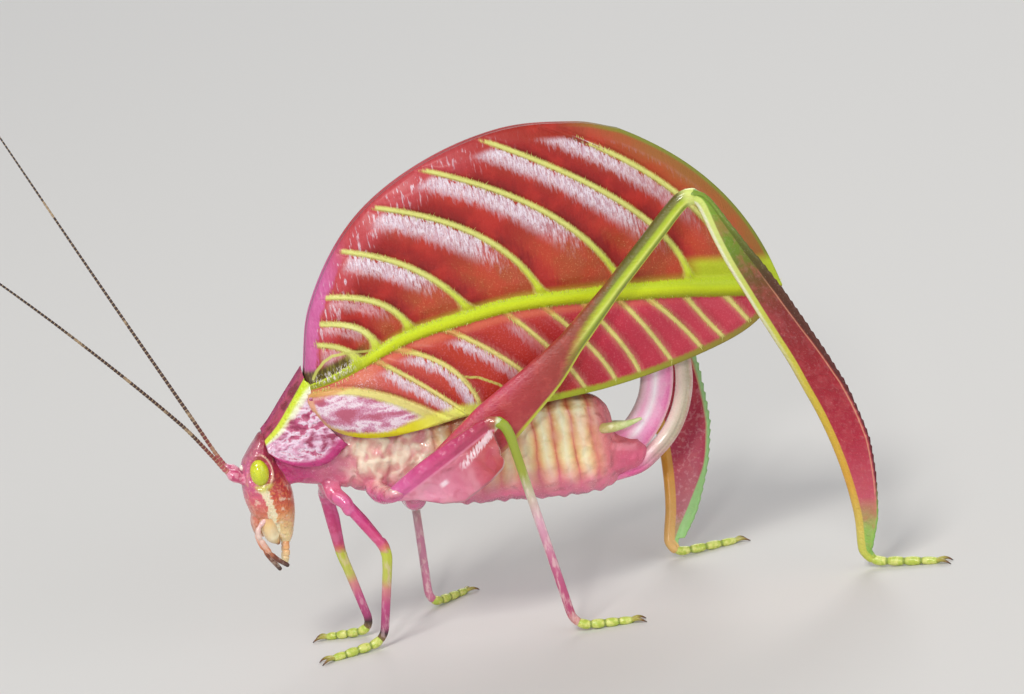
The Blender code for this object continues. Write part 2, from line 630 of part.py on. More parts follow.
def claws(toe, way):
    """Two curved claws that spread from the tip of a foot."""
    aside = way.cross(DOWN).normalized()
    hooks = []
    for side in (-1, 1):
        line = [
            toe - way * CLAW_ROOT,
            toe + way * CLAW_LENGTH * CLAW_BEND[0] + aside * side * CLAW_SPREAD * CLAW_BEND[1],
            toe + way * CLAW_LENGTH + aside * side * CLAW_SPREAD,
        ]
        hooks.append(round_tube(line, CLAW_RADII, CLAW_RINGS, CLAW_SIDES, floor=True))
    return hooks


def fuse(node, shapes):
    """Union of a node with small pieces rooted in it."""
    pieces = bpy.data.collections.new(node.name + "_pieces")
    bpy.context.scene.collection.children.link(pieces)
    for number, shape in enumerate(shapes):
        piece = add_node(f"{node.name}_piece_{number}", shape, "limb_green")
        bpy.context.scene.collection.objects.unlink(piece)
        pieces.objects.link(piece)
    union = node.modifiers.new("fuse", "BOOLEAN")
    union.operation = "UNION"
    union.operand_type = "COLLECTION"
    union.collection = pieces
    graph = bpy.context.evaluated_depsgraph_get()
    fused = bpy.data.meshes.new_from_object(node.evaluated_get(graph))
    node.modifiers.clear()
    node.data = fused
    for piece in list(pieces.objects):
        bpy.data.objects.remove(piece)
    bpy.data.collections.remove(pieces)


def ball():
    """Points and faces of a ball of radius 1."""
    work = bmesh.new()
    bmesh.ops.create_uvsphere(work, u_segments=EYE_SEGMENTS, v_segments=EYE_RINGS, radius=1.0)
    points = [v.co.copy() for v in work.verts]
    faces = [[v.index for v in f.verts] for f in work.faces]
    work.free()
    return points, faces


def eyeball(side, extra):
    """Eye of one side, grown by `extra`."""
    points, faces = ball()
    x, y, z = EYE_PLACE
    rx, ry, rz = (r + extra for r in EYE_RADII)
    return [(x + p.x * rx, -side * y + p.y * ry, z + p.z * rz) for p in points], faces


def make_head():
    head = add_node("head", loft([level_ring(*row) for row in HEAD]), "head_pink")
    for name, side in (("left", -1), ("right", 1)):
        add_node("eye_" + name, eyeball(side, 0.0), "eye_yellow")
        socket = add_node("cutter_eye_" + name, eyeball(side, GAP), "eye_yellow")
        socket.hide_render = True
        socket.display_type = "WIRE"
        cut = head.modifiers.new("socket_" + name, "BOOLEAN")
        cut.operation = "DIFFERENCE"
        cut.object = socket


def make_mouth():
    add_node("labrum", loft([level_ring(*row, sides=12) for row in LABRUM]), "mouth_tan")
    for name, side in (("left", -1), ("right", 1)):
        jaw, palp = [path if side < 0 else mirrored(path) for path in (MANDIBLE, SHORT_PALP)]
        add_node("mandible_" + name, round_tube(jaw, MANDIBLE_RADII, 5, sides=8), "mouth_tan")
        add_node("palp_maxillary_" + name, round_tube(LONG_PALPS[name], PALP_RADII, 9, sides=8), "mouth_tan")
        add_node("palp_labial_" + name, round_tube(palp, PALP_RADII, 5, sides=8), "mouth_tan")


def make_feelers():
    for name, side, path in (("left", -1, FEELER_LEFT), ("right", 1, FEELER_RIGHT)):
        scape = SCAPE if side < 0 else mirrored(SCAPE)
        add_node("scape_" + name, round_tube(scape, SCAPE_RADII, 4), "head_pink")
        add_node("antenna_" + name, round_tube(path, FEELER_RADII, FEELER_RINGS, sides=6), "feeler_brown")


def make_trunk():
    add_node("thorax", loft([oval_ring(*row) for row in THORAX]), "body_cream")
    add_node("pronotum", saddle(), "saddle_magenta")
    columns = [[(row[0], row[k]) for row in ABDOMEN] for k in (1, 2, 3)]
    rings = []
    steps = 2 * ABDOMEN_RINGS
    for i in range(steps + 1):
        x = ABDOMEN[0][0] + (ABDOMEN[-1][0] - ABDOMEN[0][0]) * i / steps
        low, high, half_width = (read_table(column, x) for column in columns)
        pinch = ABDOMEN_PLEAT if i % 2 == 0 else 0.0
        rings.append(oval_ring(x, low + pinch, high - pinch, half_width - pinch))
    add_node("abdomen", loft(rings), "body_cream")


def make_tail():
    valves = (
        ("upper", INNER_VALVE, INNER_HALF_WIDTH, "body_pink"),
        ("lower", OUTER_VALVE, OUTER_HALF_WIDTH, "body_cream"),
    )
    for name, path, width, colour in valves:
        line = smooth_line(path, VALVE_RINGS)
        blade = sweep(line, (width, width, VALVE_HALF_THICKNESS), VALVE_WIDTH_WAY)
        add_node("ovipositor_" + name, blade, colour)
    for name, path in CERCI.items():
        add_node("cercus_" + name, round_tube(path, CERCUS_RADII, 4, sides=8), "limb_green")


remove_old_objects()
make_head()
make_mouth()
make_feelers()
make_trunk()
make_tail()
add_node("tegmen_left", wing(-1), "wing_red")
add_node("tegmen_right", wing(1), "wing_red")
for pair in ("front", "mid", "hind"):
    for side in ("left", "right"):
        leg(pair, side)
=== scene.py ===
import math

import bmesh
import bpy
import numpy as np
from mathutils import Matrix, Vector


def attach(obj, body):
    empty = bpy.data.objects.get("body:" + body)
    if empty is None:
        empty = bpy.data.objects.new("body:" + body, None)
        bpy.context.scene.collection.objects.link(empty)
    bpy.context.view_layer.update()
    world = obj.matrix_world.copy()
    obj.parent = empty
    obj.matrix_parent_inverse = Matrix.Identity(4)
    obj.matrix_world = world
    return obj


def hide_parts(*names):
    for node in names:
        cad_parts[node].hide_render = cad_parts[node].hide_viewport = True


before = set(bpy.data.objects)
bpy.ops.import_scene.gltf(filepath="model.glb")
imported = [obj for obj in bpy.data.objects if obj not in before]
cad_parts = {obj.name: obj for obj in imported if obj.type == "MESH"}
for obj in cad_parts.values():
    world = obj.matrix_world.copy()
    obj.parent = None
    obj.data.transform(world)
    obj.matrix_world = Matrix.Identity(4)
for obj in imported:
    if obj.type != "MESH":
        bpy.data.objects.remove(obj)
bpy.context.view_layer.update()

# Forewings
# The two leaf-like forewings are folded roof-wise over the back. Each is a thin, stiff cuticle sheet
# with a thick midrib and side veins raised from it, cushions of softer membrane between the veins,
# a fringe of short hairs on the veins, and a root held under the shield's rear edge.
TOP_MARGIN = [
    (-13.95, 18.5), (-12.65, 23.1), (-9.1, 27.9), (-4.3, 30.75), (1.6, 32.15), (6.8, 31.65), (9.4, 30.75),
]
LOW_MARGIN = [
    (-14.05, 17.3), (-13.75, 16.1), (-13.1, 15.25), (-11.2, 14.45), (-7.6, 14.25), (-3.9, 14.55),
    (1.5, 14.35), (7.7, 14.55), (13.55, 15.45), (16.45, 16.5), (18.5, 18.45),
]
MIDRIB = [
    (-13.8, 18.15), (-12.4, 18.5), (-11.4, 18.8), (-9.95, 19.35), (-8.5, 19.95), (-7.0, 20.4),
    (-4.8, 20.75), (0.6, 21.1), (9.4, 20.1), (18.5, 18.45),
]
BASE_M = -13.8
FRONT_M = -14.8
REAR_M = 18.5
SPREAD = np.array([
    (-14.3, 1.75), (-12.0, 2.4), (-9.0, 2.9), (-3.0, 3.05), (5.0, 2.7), (12.0, 1.65), (18.5, 0.75),
])
CREST_SPREAD = 0.65
WING_THICKNESS, CREST_THICKNESS = 0.34, 0.6
VEIN_RISE, RIB_RISE, CUSHION_RISE, FURROW_DEPTH = 0.2, 0.36, 0.32, 0.1
MIDRIB_WIDTH = np.array([
    (-13.8, 0.16), (-10.5, 0.3), (-8.0, 0.4), (4.0, 0.48), (12.0, 0.6), (16.0, 0.66), (18.5, 0.25),
])
# Side veins: the place of their root on the midrib, that of their end on the margin, and how far along
# and up the way between the two the curve's control point lies. The wing's end columns follow the same way
UPPER_VEINS = [
    (-10.4, -13.4, 0.05, 0.9), (-9.1, -13.05, -0.05, 0.98), (-6.6, -12.3, 0.13, 0.97),
    (-2.5, -10.4, 0.3, 0.78), (2.35, -7.8, 0.17, 0.71), (7.8, -4.25, 0.16, 0.62), (12.3, 0.0, 0.0, 0.45),
    (15.8, 4.2, 0.09, 0.56),
]
LOWER_VEINS = [
    (-14.4, -5.6, 0.44, -0.25), (-9.6, -3.9, 0.5, 0.4), (-8.5, -3.05, 0.9, 0.25), (-5.1, 2.0, 0.5, 0.28),
    (-0.8, 4.05, 0.79, 0.59), (1.7, 6.1, 0.9, 0.65), (4.3, 7.8, 0.9, 0.65), (6.65, 10.2, 0.48, 0.32),
    (8.5, 12.4, 0.66, 0.49), (11.4, 14.1, 0.4, 0.5), (13.9, 16.0, 0.5, 0.45),
]
BASE_COLUMN, FRONT_COLUMN = (-13.95, 0.05, 0.9), (-7.6, 0.12, 1.14)
REAR_BEND, LOW_REAR_BEND = (0.192, 0.649), (0.5, 0.45)
# Two fine lines beside the veins: round the dark base cell, and from the third lower vein backward
BASE_LINE = [
    (-13.4, 18.7), (-13.11, 19.21), (-12.57, 19.76), (-11.96, 20.05), (-10.54, 20.07), (-9.06, 19.92),
]
LINK_LINE = [(-3.79, 17.14), (-2.95, 16.97), (-1.68, 16.22), (-1.2, 15.6)]
COLUMN_STEP = 0.13
# Points that agree to this many decimals are one
MATCH_DECIMALS = 3
UPPER_ROWS, LOWER_ROWS, ROW_CROWDING = 66, 46, 1.25
MODEL_MIDDLE = np.array((-5.12, 1.55, 0.0))
MM = 0.001


def lengths(line):
    return np.concatenate([[0.0], np.cumsum(np.linalg.norm(np.diff(line, axis=0), axis=1))])


def unit(vector):
    return vector / max(np.linalg.norm(vector), 1e-9)


def smooth_line(points, count):
    """Evenly spaced points on a smooth curve through the given ones."""
    points = np.array(points, float)
    dense = []
    last = len(points) - 1
    for i in range(last):
        before, start, stop = points[max(i - 1, 0)], points[i], points[i + 1]
        after = points[min(i + 2, last)]
        span = np.linalg.norm(stop - start)
        leave, arrive = unit(stop - before) * span, unit(after - start) * span
        for t in np.arange(12) / 12:
            dense.append(start * (2 * t**3 - 3 * t**2 + 1) + leave * (t**3 - 2 * t**2 + t)
                         + stop * (3 * t**2 - 2 * t**3) + arrive * (t**3 - t**2))
    dense = np.array(dense + [points[-1]])
    marks = lengths(dense)
    goals = np.linspace(0, marks[-1], count)
    return np.stack([np.interp(goals, marks, dense[:, k]) for k in range(dense.shape[1])], 1)


def read(table, x):
    table = np.asarray(table, float)
    return np.interp(x, table[:, 0], table[:, 1])


def hump(value, middle, width):
    """1 in the middle, falling smoothly to nearly 0 at twice the width from it."""
    return np.exp(-(((value - middle) / width) ** 2))


def bent(start, end, bend, t):
    """Point at t of the curve from start to end whose control point lies `bend` of the way."""
    control = start + bend * (end - start)
    return (1 - t) ** 2 * start + 2 * t * (1 - t) * control + t**2 * end


def add_piece(name, points, faces, material, marks=None, flat=False):
    """Object in millimetres of the drawing, with its faces out and a named value at each point."""
    mesh = bpy.data.meshes.new(name)
    placed = (np.asarray(points, float) - MODEL_MIDDLE) * MM
    mesh.from_pydata([tuple(p) for p in placed], [], [tuple(int(i) for i in f) for f in faces])
    for key, values in (marks or {}).items():
        layer = mesh.attributes.new(key, "FLOAT", "POINT")
        layer.data.foreach_set("value", np.asarray(values, np.float32))
    work = bmesh.new()
    work.from_mesh(mesh)
    bmesh.ops.recalc_face_normals(work, faces=work.faces)
    work.to_mesh(mesh)
    work.free()
    if material:
        mesh.materials.append(material)
    if not flat:
        mesh.shade_smooth()
    piece = bpy.data.objects.new(name, mesh)
    bpy.context.scene.collection.objects.link(piece)
    return piece


def hand_over(piece, slot, *nodes):
    """Piece shown in place of its solids, on the one body of the model."""
    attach(piece, "root")
    if nodes:
        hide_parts(*nodes)


def rgb(colour):
    """Colour from the usual 0 to 255 values. A colour that is worked out already passes through."""
    if not isinstance(colour, tuple):
        return colour
    return tuple(((part / 255 + 0.055) / 1.055) ** 2.4 for part in colour) + (1.0,)


class Paint:
    """A material being mixed. Each call adds one step and gives its result for the next."""

    def __init__(self, name, coat=0.0, coat_roughness=0.12, subsurface=0.0, tint=None, specular=0.5):
        self.material = bpy.data.materials.new(name)
        self.material.use_nodes = True
        self.tree = self.material.node_tree
        self.shader = self.tree.nodes["Principled BSDF"]
        self.shader.inputs["Coat Weight"].default_value = coat
        self.shader.inputs["Coat Roughness"].default_value = coat_roughness
        self.shader.inputs["Specular IOR Level"].default_value = specular
        if subsurface:
            self.shader.inputs["Subsurface Weight"].default_value = subsurface
            self.shader.inputs["Subsurface Scale"].default_value = 0.0006
            self.shader.inputs["Subsurface Radius"].default_value = tint or (1.0, 0.35, 0.3)
        place = self.tree.nodes.new("ShaderNodeTexCoord").outputs["Object"]
        self.spot = self.vector("MULTIPLY", place, (1000.0, 1000.0, 1000.0))

    def plug(self, value, socket):
        if isinstance(value, bpy.types.NodeSocket):
            self.tree.links.new(value, socket)
        else:
            socket.default_value = value

    def vector(self, kind, a, b):
        node = self.tree.nodes.new("ShaderNodeVectorMath")
        node.operation = kind
        self.plug(a, node.inputs[0])
        self.plug(b, node.inputs[1])
        return node.outputs["Vector"]

    def axis(self, name):
        node = self.tree.nodes.new("ShaderNodeSeparateXYZ")
        self.plug(self.spot, node.inputs[0])
        return node.outputs[name]

    def mark(self, name):
        node = self.tree.nodes.new("ShaderNodeAttribute")
        node.attribute_name = name
        return node.outputs["Fac"]

    def sum(self, kind, a, b=0.0, c=0.0):
        node = self.tree.nodes.new("ShaderNodeMath")
        node.operation = kind
        for value, socket in zip((a, b, c), node.inputs):
            self.plug(value, socket)
        return node.outputs[0]

    def scaled(self, value, factor, start):
        return self.sum("MULTIPLY_ADD", value, factor, start)

    def less(self, value, taken):
        return self.sum("SUBTRACT", value, taken)

    def ratio(self, value, whole):
        return self.sum("DIVIDE", value, whole)

    def most(self, a, b):
        return self.sum("MAXIMUM", a, b)

    def sway(self, value, noise, reach):
        """The value, moved up and down by the noise."""
        return self.scaled(self.less(noise, 0.5), reach, value)

    def beat(self, value):
        """0 in the middle of each unit of the value, 0.5 at its ends."""
        return self.sum("ABSOLUTE", self.less(self.sum("FRACT", value), 0.5))

    def share(self, given):
        """A mask as it is, or the rise or band that a tuple of three or four entries asks for."""
        if not isinstance(given, tuple):
            return given
        return self.rise(*given) if len(given) == 3 else self.band(*given)

    def times(self, *shares):
        result = self.share(shares[0])
        for given in shares[1:]:
            result = self.sum("MULTIPLY", result, self.share(given))
        return result

    def rise(self, value, low, high):
        """0 below `low`, 1 above `high`, smooth between. With low over high it falls instead."""
        node = self.tree.nodes.new("ShaderNodeMapRange")
        node.interpolation_type = "SMOOTHSTEP"
        self.plug(value, node.inputs["Value"])
        node.inputs["From Min"].default_value = min(low, high)
        node.inputs["From Max"].default_value = max(low, high)
        node.inputs["To Min"].default_value = 0.0 if low < high else 1.0
        node.inputs["To Max"].default_value = 1.0 if low < high else 0.0
        return node.outputs["Result"]

    def band(self, value, low, high, soft):
        rising, falling = self.rise(value, low - soft, low + soft), self.rise(value, high + soft, high - soft)
        return self.times(rising, falling)

    def noise(self, stretch, detail=2.0, rough=0.5, bend=0.0):
        node = self.tree.nodes.new("ShaderNodeTexNoise")
        if isinstance(stretch, (int, float)):
            stretch = (stretch,) * 3
        self.plug(self.vector("MULTIPLY", self.spot, stretch), node.inputs["Vector"])
        node.inputs["Scale"].default_value = 1.0
        node.inputs["Detail"].default_value = detail
        node.inputs["Roughness"].default_value = rough
        node.inputs["Distortion"].default_value = bend
        return node.outputs["Fac"]

    def cells(self, density):
        node = self.tree.nodes.new("ShaderNodeTexVoronoi")
        self.plug(self.vector("MULTIPLY", self.spot, (density,) * 3), node.inputs["Vector"])
        node.inputs["Scale"].default_value = 1.0
        return node.outputs["Distance"]

    def ramp(self, value, *stops):
        """Colour read from stops, each a place and its colour's three values."""
        node = self.tree.nodes.new("ShaderNodeValToRGB")
        self.plug(value, node.inputs[0])
        points = node.color_ramp.elements
        while len(points) < len(stops):
            points.new(0.5)
        for point, (place, *colour) in zip(points, stops):
            point.position = place
            point.color = rgb(tuple(colour))
        return node.outputs["Color"]

    def mix(self, share, a, b):
        node = self.tree.nodes.new("ShaderNodeMix")
        node.data_type = "RGBA"
        for value, place in ((share, 0), (rgb(a), 6), (rgb(b), 7)):
            self.plug(value, node.inputs[place])
        return node.outputs[2]

    def over(self, under, colour, *shares):
        """The under colour, covered by another as far as all the shares let it."""
        return self.mix(self.times(*shares), under, colour)

    def bump(self, *layers):
        """Relief from (height, depth in millimetres) layers, each laid over the one before."""
        for height, depth in layers:
            node = self.tree.nodes.new("ShaderNodeBump")
            node.inputs["Strength"].default_value = 1.0
            node.inputs["Distance"].default_value = depth * MM
            self.plug(height, node.inputs["Height"])
            links = self.shader.inputs["Normal"].links
            if links:
                self.tree.links.new(links[0].from_socket, node.inputs["Normal"])
            self.tree.links.new(node.outputs["Normal"], self.shader.inputs["Normal"])

    def done(self, colour, roughness):
        self.plug(rgb(colour), self.shader.inputs["Base Color"])
        self.plug(roughness, self.shader.inputs["Roughness"])
        return self.material


def outline_table(points, count=60):
    return smooth_line([(x, 0, z) for x, z in points], count)[:, [0, 2]]


TOP_TABLE = outline_table(TOP_MARGIN)
LOW_TABLE = outline_table(LOW_MARGIN)
RIB_TABLE = outline_table(MIDRIB)
rear_edge = [
    bent(np.array(MIDRIB[-1]), np.array(TOP_MARGIN[-1]), np.array(REAR_BEND), 1 - i / 20) for i in range(21)
]
CREST_TABLE = np.vstack([TOP_TABLE, rear_edge[1:]])
UPPER_WAYS = np.array([(BASE_M, *BASE_COLUMN), *UPPER_VEINS, (REAR_M, TOP_MARGIN[-1][0], *REAR_BEND)])
LOWER_WAYS = np.array([(FRONT_M, *FRONT_COLUMN), *LOWER_VEINS, (REAR_M, LOW_MARGIN[-1][0], *LOW_REAR_BEND)])


def wing_root(m):
    part = (m - FRONT_M) / (BASE_M - FRONT_M)
    low, high = LOW_MARGIN[0], MIDRIB[0]
    x = np.where(m >= BASE_M, m, low[0] + part * (high[0] - low[0]))
    z = np.where(m >= BASE_M, read(RIB_TABLE, m), low[1] + part * (high[1] - low[1]))
    return np.stack([x, z], -1)


def wing_point(m, t, upper):
    """Place (x, z) at share t of the way from the midrib to the margin, along column m."""
    m, t = np.broadcast_arrays(np.asarray(m, float), np.asarray(t, float))
    ways, margin = (UPPER_WAYS, TOP_TABLE) if upper else (LOWER_WAYS, LOW_TABLE)
    end_x, along, up = (np.interp(m, ways[:, 0], ways[:, k]) for k in (1, 2, 3))
    end = np.stack([end_x, read(margin, end_x)], -1)
    return bent(wing_root(m), end, np.stack([along, up], -1), t[..., None])


def half_spread(x, z):
    top, low = read(CREST_TABLE, x), read(LOW_TABLE, x)
    height = np.clip((top - z) / np.maximum(top - low, 0.3), 0.0, 1.0)
    return CREST_SPREAD + (read(SPREAD, x) - CREST_SPREAD) * (1 - (1 - height) ** 2)


def gap_to(places, line):
    """Distance of each place from a line of points."""
    best = np.full(len(places), 1e9)
    for a, b in zip(line, line[1:]):
        along = b - a
        share = np.clip(((places - a) @ along) / max(along @ along, 1e-12), 0, 1)
        best = np.minimum(best, np.linalg.norm(places - a - share[:, None] * along, axis=1))
    return best


def grid_faces(grid):
    """Four-sided faces over a grid of point numbers, three-sided where points meet."""
    faces = []
    for a, b in zip(grid, grid[1:]):
        for r in range(len(a) - 1):
            face = []
            for i in (a[r], b[r], b[r + 1], a[r + 1]):
                if i not in face:
                    face.append(i)
            if len(face) > 2:
                faces.append(face)
    return faces


def open_edges(faces):
    edges = set()
    for face in faces:
        edges |= {(face[k - 1], face[k]) for k in range(len(face))}
    return [edge for edge in edges if edge[::-1] not in edges]


knots = sorted({FRONT_M, BASE_M, REAR_M, *(m for m, *_ in UPPER_VEINS + LOWER_VEINS)})
columns = []
for a, b in zip(knots, knots[1:]):
    steps = max(2, math.ceil((b - a) / COLUMN_STEP))
    columns += [a + (b - a) * i / steps for i in range(steps)]
columns = np.array(columns + [REAR_M])
places, marks, wing_faces, numbers = [], [], [], {}
for upper, rows, veins in ((True, UPPER_ROWS, UPPER_VEINS), (False, LOWER_ROWS, LOWER_VEINS)):
    field_columns = columns[columns >= BASE_M] if upper else columns
    roots = [m for m, *_ in veins]
    # Rows stand closer by the midrib
    row_marks = (np.arange(rows + 1) / rows) ** ROW_CROWDING
    spots = wing_point(field_columns[:, None], row_marks[None, :], upper)
    ends = [field_columns[0] - 0.01] + roots + [REAR_M + 0.5]
    grid = []
    for c, m in enumerate(field_columns):
        column = []
        for r, t in enumerate(row_marks):
            key = tuple(round(value, MATCH_DECIMALS) for value in spots[c, r])
            if key not in numbers:
                numbers[key] = len(places)
                places.append(spots[c, r])
                marks.append((np.interp(m, ends, range(len(ends))), t, float(upper)))
            column.append(numbers[key])
        grid.append(column)
    wing_faces += [face if upper else face[::-1] for face in grid_faces(grid)]
places, marks = np.array(places), np.array(marks)
cell, row, is_upper = marks.T
vein_gap, above_gap, below_gap = (np.full(len(places), 9.0) for _ in range(3))
for upper, veins in ((1.0, UPPER_VEINS), (0.0, LOWER_VEINS)):
    mine = is_upper == upper
    gaps = [gap_to(places[mine], wing_point(m, np.linspace(0, 1, 30), bool(upper))) for m, *_ in veins]
    gaps = np.array(gaps)
    vein_gap[mine] = gaps.min(axis=0)
    # The margins close the first and the last cell
    gaps = np.vstack([gap_to(places[mine], LOW_TABLE), gaps, gap_to(places[mine], CREST_TABLE)])
    first = np.clip(np.floor(cell[mine] - 1e-6).astype(int), 0, len(veins))
    pick = np.arange(mine.sum())
    below_gap[mine], above_gap[mine] = gaps[first, pick], gaps[first + 1, pick]
cell_width = above_gap + below_gap
rib_gap = gap_to(places, RIB_TABLE) * np.where(is_upper > 0.5, 1, -1)
rim_line = np.vstack([CREST_TABLE, LOW_TABLE[::-1]])
rim_gap = gap_to(places, rim_line)
fraction = cell - np.floor(cell)
rib_width = read(MIDRIB_WIDTH, places[:, 0])
from_rib = np.abs(rib_gap) - rib_width
flare = np.where(is_upper > 0.5, 0.16, 0.05) * np.exp(-(from_rib.clip(0) / 0.35))
vein_width = np.where(is_upper > 0.5, 0.125 - 0.035 * row, 0.085) + flare
# The first lower vein broadens toward the margin
vein_width += np.where((is_upper < 0.5) & (cell > 0.5) & (cell < 1.5), 0.14 * row, 0.0)
thin_gap = np.minimum(gap_to(places, np.array(BASE_LINE)), gap_to(places, np.array(LINK_LINE)))
cushion = np.sin(np.pi * fraction) ** 0.8 * np.clip(cell_width / 1.5, 0, 1)
cushion *= np.clip(from_rib / 0.8, 0, 1) * np.clip(rim_gap / 0.9, 0, 1)
vein_fade = np.clip(rim_gap / 0.5, 0, 1)
relief = VEIN_RISE * (1 - 0.5 * row) * hump(vein_gap, 0, vein_width) * vein_fade + CUSHION_RISE * cushion
rib_rise = RIB_RISE * rib_width / MIDRIB_WIDTH[:, 1].max()
relief = np.maximum(relief, rib_rise * np.exp(-((np.abs(rib_gap) / rib_width) ** 4) * 0.9))
furrow = hump(vein_gap, 1.9 * vein_width, 0.6 * vein_width)
relief -= FURROW_DEPTH * furrow * vein_fade * (cushion > 0)
spread = half_spread(places[:, 0], places[:, 1])
# The inner faces nearly meet along the crest
crest_gap = gap_to(places, CREST_TABLE)
thickness = WING_THICKNESS + (CREST_THICKNESS - WING_THICKNESS) * hump(crest_gap, 0, 0.6)

paint = Paint("forewing", coat=0.2, coat_roughness=0.25, specular=0.3)
cell_mark, row_mark, field_mark = paint.mark("cell"), paint.mark("row"), paint.mark("field")
vein_mark, rib_mark, rim_mark = paint.mark("vein_gap"), paint.mark("rib_gap"), paint.mark("rim_gap")
above, below, thin_mark = paint.mark("above_gap"), paint.mark("below_gap"), paint.mark("thin_gap")
lower_field = paint.less(1.0, field_mark)
x_mark, z_mark = paint.axis("X"), paint.axis("Z")
blotch, grain = paint.noise(0.55, 3.0), paint.noise(9.0, 3.0, 0.6)
streaks = paint.noise((6.5, 2.0, 1.3), 3.0, 0.65)
fine_streaks = paint.noise((15.0, 3.0, 3.0), 2.0, 0.6)
ragged = paint.less(streaks, 0.5)
# Red between the veins, with painted shade darkest just above each vein on the lower slope of each cushion,
# salmon by the midrib
level = paint.ratio(below, paint.sum("ADD", paint.sum("ADD", above, below), 0.01))
level = paint.scaled(paint.less(level, 0.5), paint.rise(rim_mark, 0.3, 1.5), 0.5)
level = paint.scaled(ragged, 0.3, level)
red_and_shade = paint.ramp(
    level, (0.0, 98, 14, 14), (0.1, 130, 18, 18), (0.3, 154, 24, 20), (0.62, 162, 44, 24),
    (1.0, 162, 50, 38),
)
salmon = paint.mix(paint.rise(grain, 0.55, 0.7), (170, 74, 34), (200, 128, 82))
inner = paint.times((row_mark, 0.52, 0.2), (level, 0.16, 0.45), 0.85)
red_and_shade = paint.over(red_and_shade, salmon, inner)
red_and_shade = paint.over(red_and_shade, (206, 52, 40), (blotch, 0.42, 0.65), 0.4)
low_red_and_shade = paint.ramp(
    paint.rise(x_mark, -8.0, 22.0), (0.0, 206, 92, 84), (0.2, 184, 52, 30), (0.5, 176, 38, 32),
    (0.7, 190, 36, 62), (1.0, 198, 58, 78),
)
# Painted shade on the lower slope of each cushion of the lower field
low_red_and_shade = paint.over(low_red_and_shade, (150, 20, 40), (level, 0.4, 0.05), 0.6)
halo = paint.rise(paint.scaled(ragged, 0.5, vein_mark), 0.55, 0.15)
low_red_and_shade = paint.over(low_red_and_shade, (228, 150, 134), halo, (x_mark, 0.0, 4.0), 0.4)
low_red_and_shade = paint.over(low_red_and_shade, (230, 130, 140), (grain, 0.52, 0.68), 0.25)
colour = paint.mix(field_mark, low_red_and_shade, red_and_shade)
# Rear band of the upper field turns from orange red to brown, with an olive rim
rear = paint.times((x_mark, 10.0, 18.0), field_mark)
ragged_rim = paint.sway(rim_mark, blotch, 1.6)
colour = paint.over(colour, (184, 84, 40), rear, (ragged_rim, 3.2, 1.0), 0.85)
colour = paint.over(colour, (150, 104, 42), rear, (ragged_rim, 1.5, 0.3), 0.8)
rear_rim = paint.times((rim_mark, 0.32, 0.12), (x_mark, 10.0, 15.5), field_mark)
colour = paint.over(colour, (128, 132, 40), rear_rim)
# Pinker skin along the top and front margins, and a lilac front rim
front = paint.rise(x_mark, 9.0, 0.0)
pink_share = paint.times(front, (rim_mark, 2.3, 1.0), (z_mark, 19.5, 21.0), 0.85)
colour = paint.over(colour, paint.mix(streaks, (176, 48, 52), (212, 90, 100)), pink_share)
frayed_rim = paint.scaled(ragged, 0.7, rim_mark)
lilac = paint.times((frayed_rim, 0.8, 0.55), (x_mark, -4.2, -6.8), (z_mark, 17.8, 18.8))
colour = paint.over(colour, paint.mix(streaks, (192, 70, 134), (222, 126, 178)), lilac)
# Painted sheen: a white highlight lies thick below each vein, on the upper slope of each cushion, and thins
# into upright streaks. Along the top front margin the same white stands for down
fall = paint.scaled(ragged, 1.5, above)
reach = paint.scaled(paint.sum("ADD", above, below), 0.34, 0.24)
far_fall = paint.ratio(fall, reach)
thick = paint.times((fall, 0.12, 0.24), (far_fall, 1.22, 0.62))
sheen_streaks = paint.scaled(paint.rise(fine_streaks, 0.4, 0.56), 0.38, 0.62)
ends = paint.times((paint.scaled(ragged, 0.5, row_mark), 0.24, 0.52), (rim_mark, 0.7, 1.2))
front_cells = paint.scaled(paint.rise(cell_mark, 2.9, 3.15), 0.6, 0.4)
painted_sheen = paint.times(thick, sheen_streaks, ends, field_mark, front_cells, (x_mark, 22.0, 12.0))
margin_down = paint.times(
    (rim_mark, 2.4, 1.3), (rim_mark, 0.12, 0.4), front, field_mark,
    (paint.noise((5.0, 2.0, 0.9), 2.0, 0.6), 0.56, 0.68), (z_mark, 20.0, 22.0),
)
# The same painted sheen below the veins of the lower field
low_thick = paint.times((fall, 0.1, 0.2), (fall, 0.95, 0.5))
low_ends = paint.times((cell_mark, 0.98, 1.02), (rib_mark, -0.9, -1.6), (x_mark, 8.0, 1.0))
low_painted_sheen = paint.times(lower_field, low_thick, sheen_streaks, low_ends)
sheen_and_down = paint.most(paint.most(painted_sheen, paint.times(margin_down, 0.7)), low_painted_sheen)
# Colour of the painted sheen and of the margin's down
down = paint.mix(paint.rise(streaks, 0.36, 0.58), (202, 174, 188), (236, 228, 238))
down = paint.over(down, (150, 112, 128), (grain, 0.56, 0.68), 0.6)
colour = paint.over(colour, down, sheen_and_down, 0.92)
# The front lower cell is lilac and pink with long pale streaks
long_streaks = paint.noise((0.34, 1.0, 1.15), 1.5, 0.5, 0.3)
corner = paint.times(lower_field, (cell_mark, 1.04, 0.98), (vein_mark, 0.05, 0.25))
veil = paint.ramp(
    paint.sway(long_streaks, grain, 0.3), (0.36, 184, 92, 116), (0.46, 206, 140, 168),
    (0.56, 240, 224, 232), (0.64, 212, 156, 184), (0.74, 180, 86, 108),
)
veil = paint.over(veil, (240, 228, 226), (x_mark, -2.6, -1.2))
colour = paint.over(colour, veil, corner)
fan = paint.times(lower_field, (cell_mark, 0.98, 1.04), (x_mark, -3.6, -5.4))
colour = paint.over(
    colour, paint.mix(paint.rise(grain, 0.5, 0.66), (212, 120, 96), (236, 190, 196)), fan, 0.8,
)
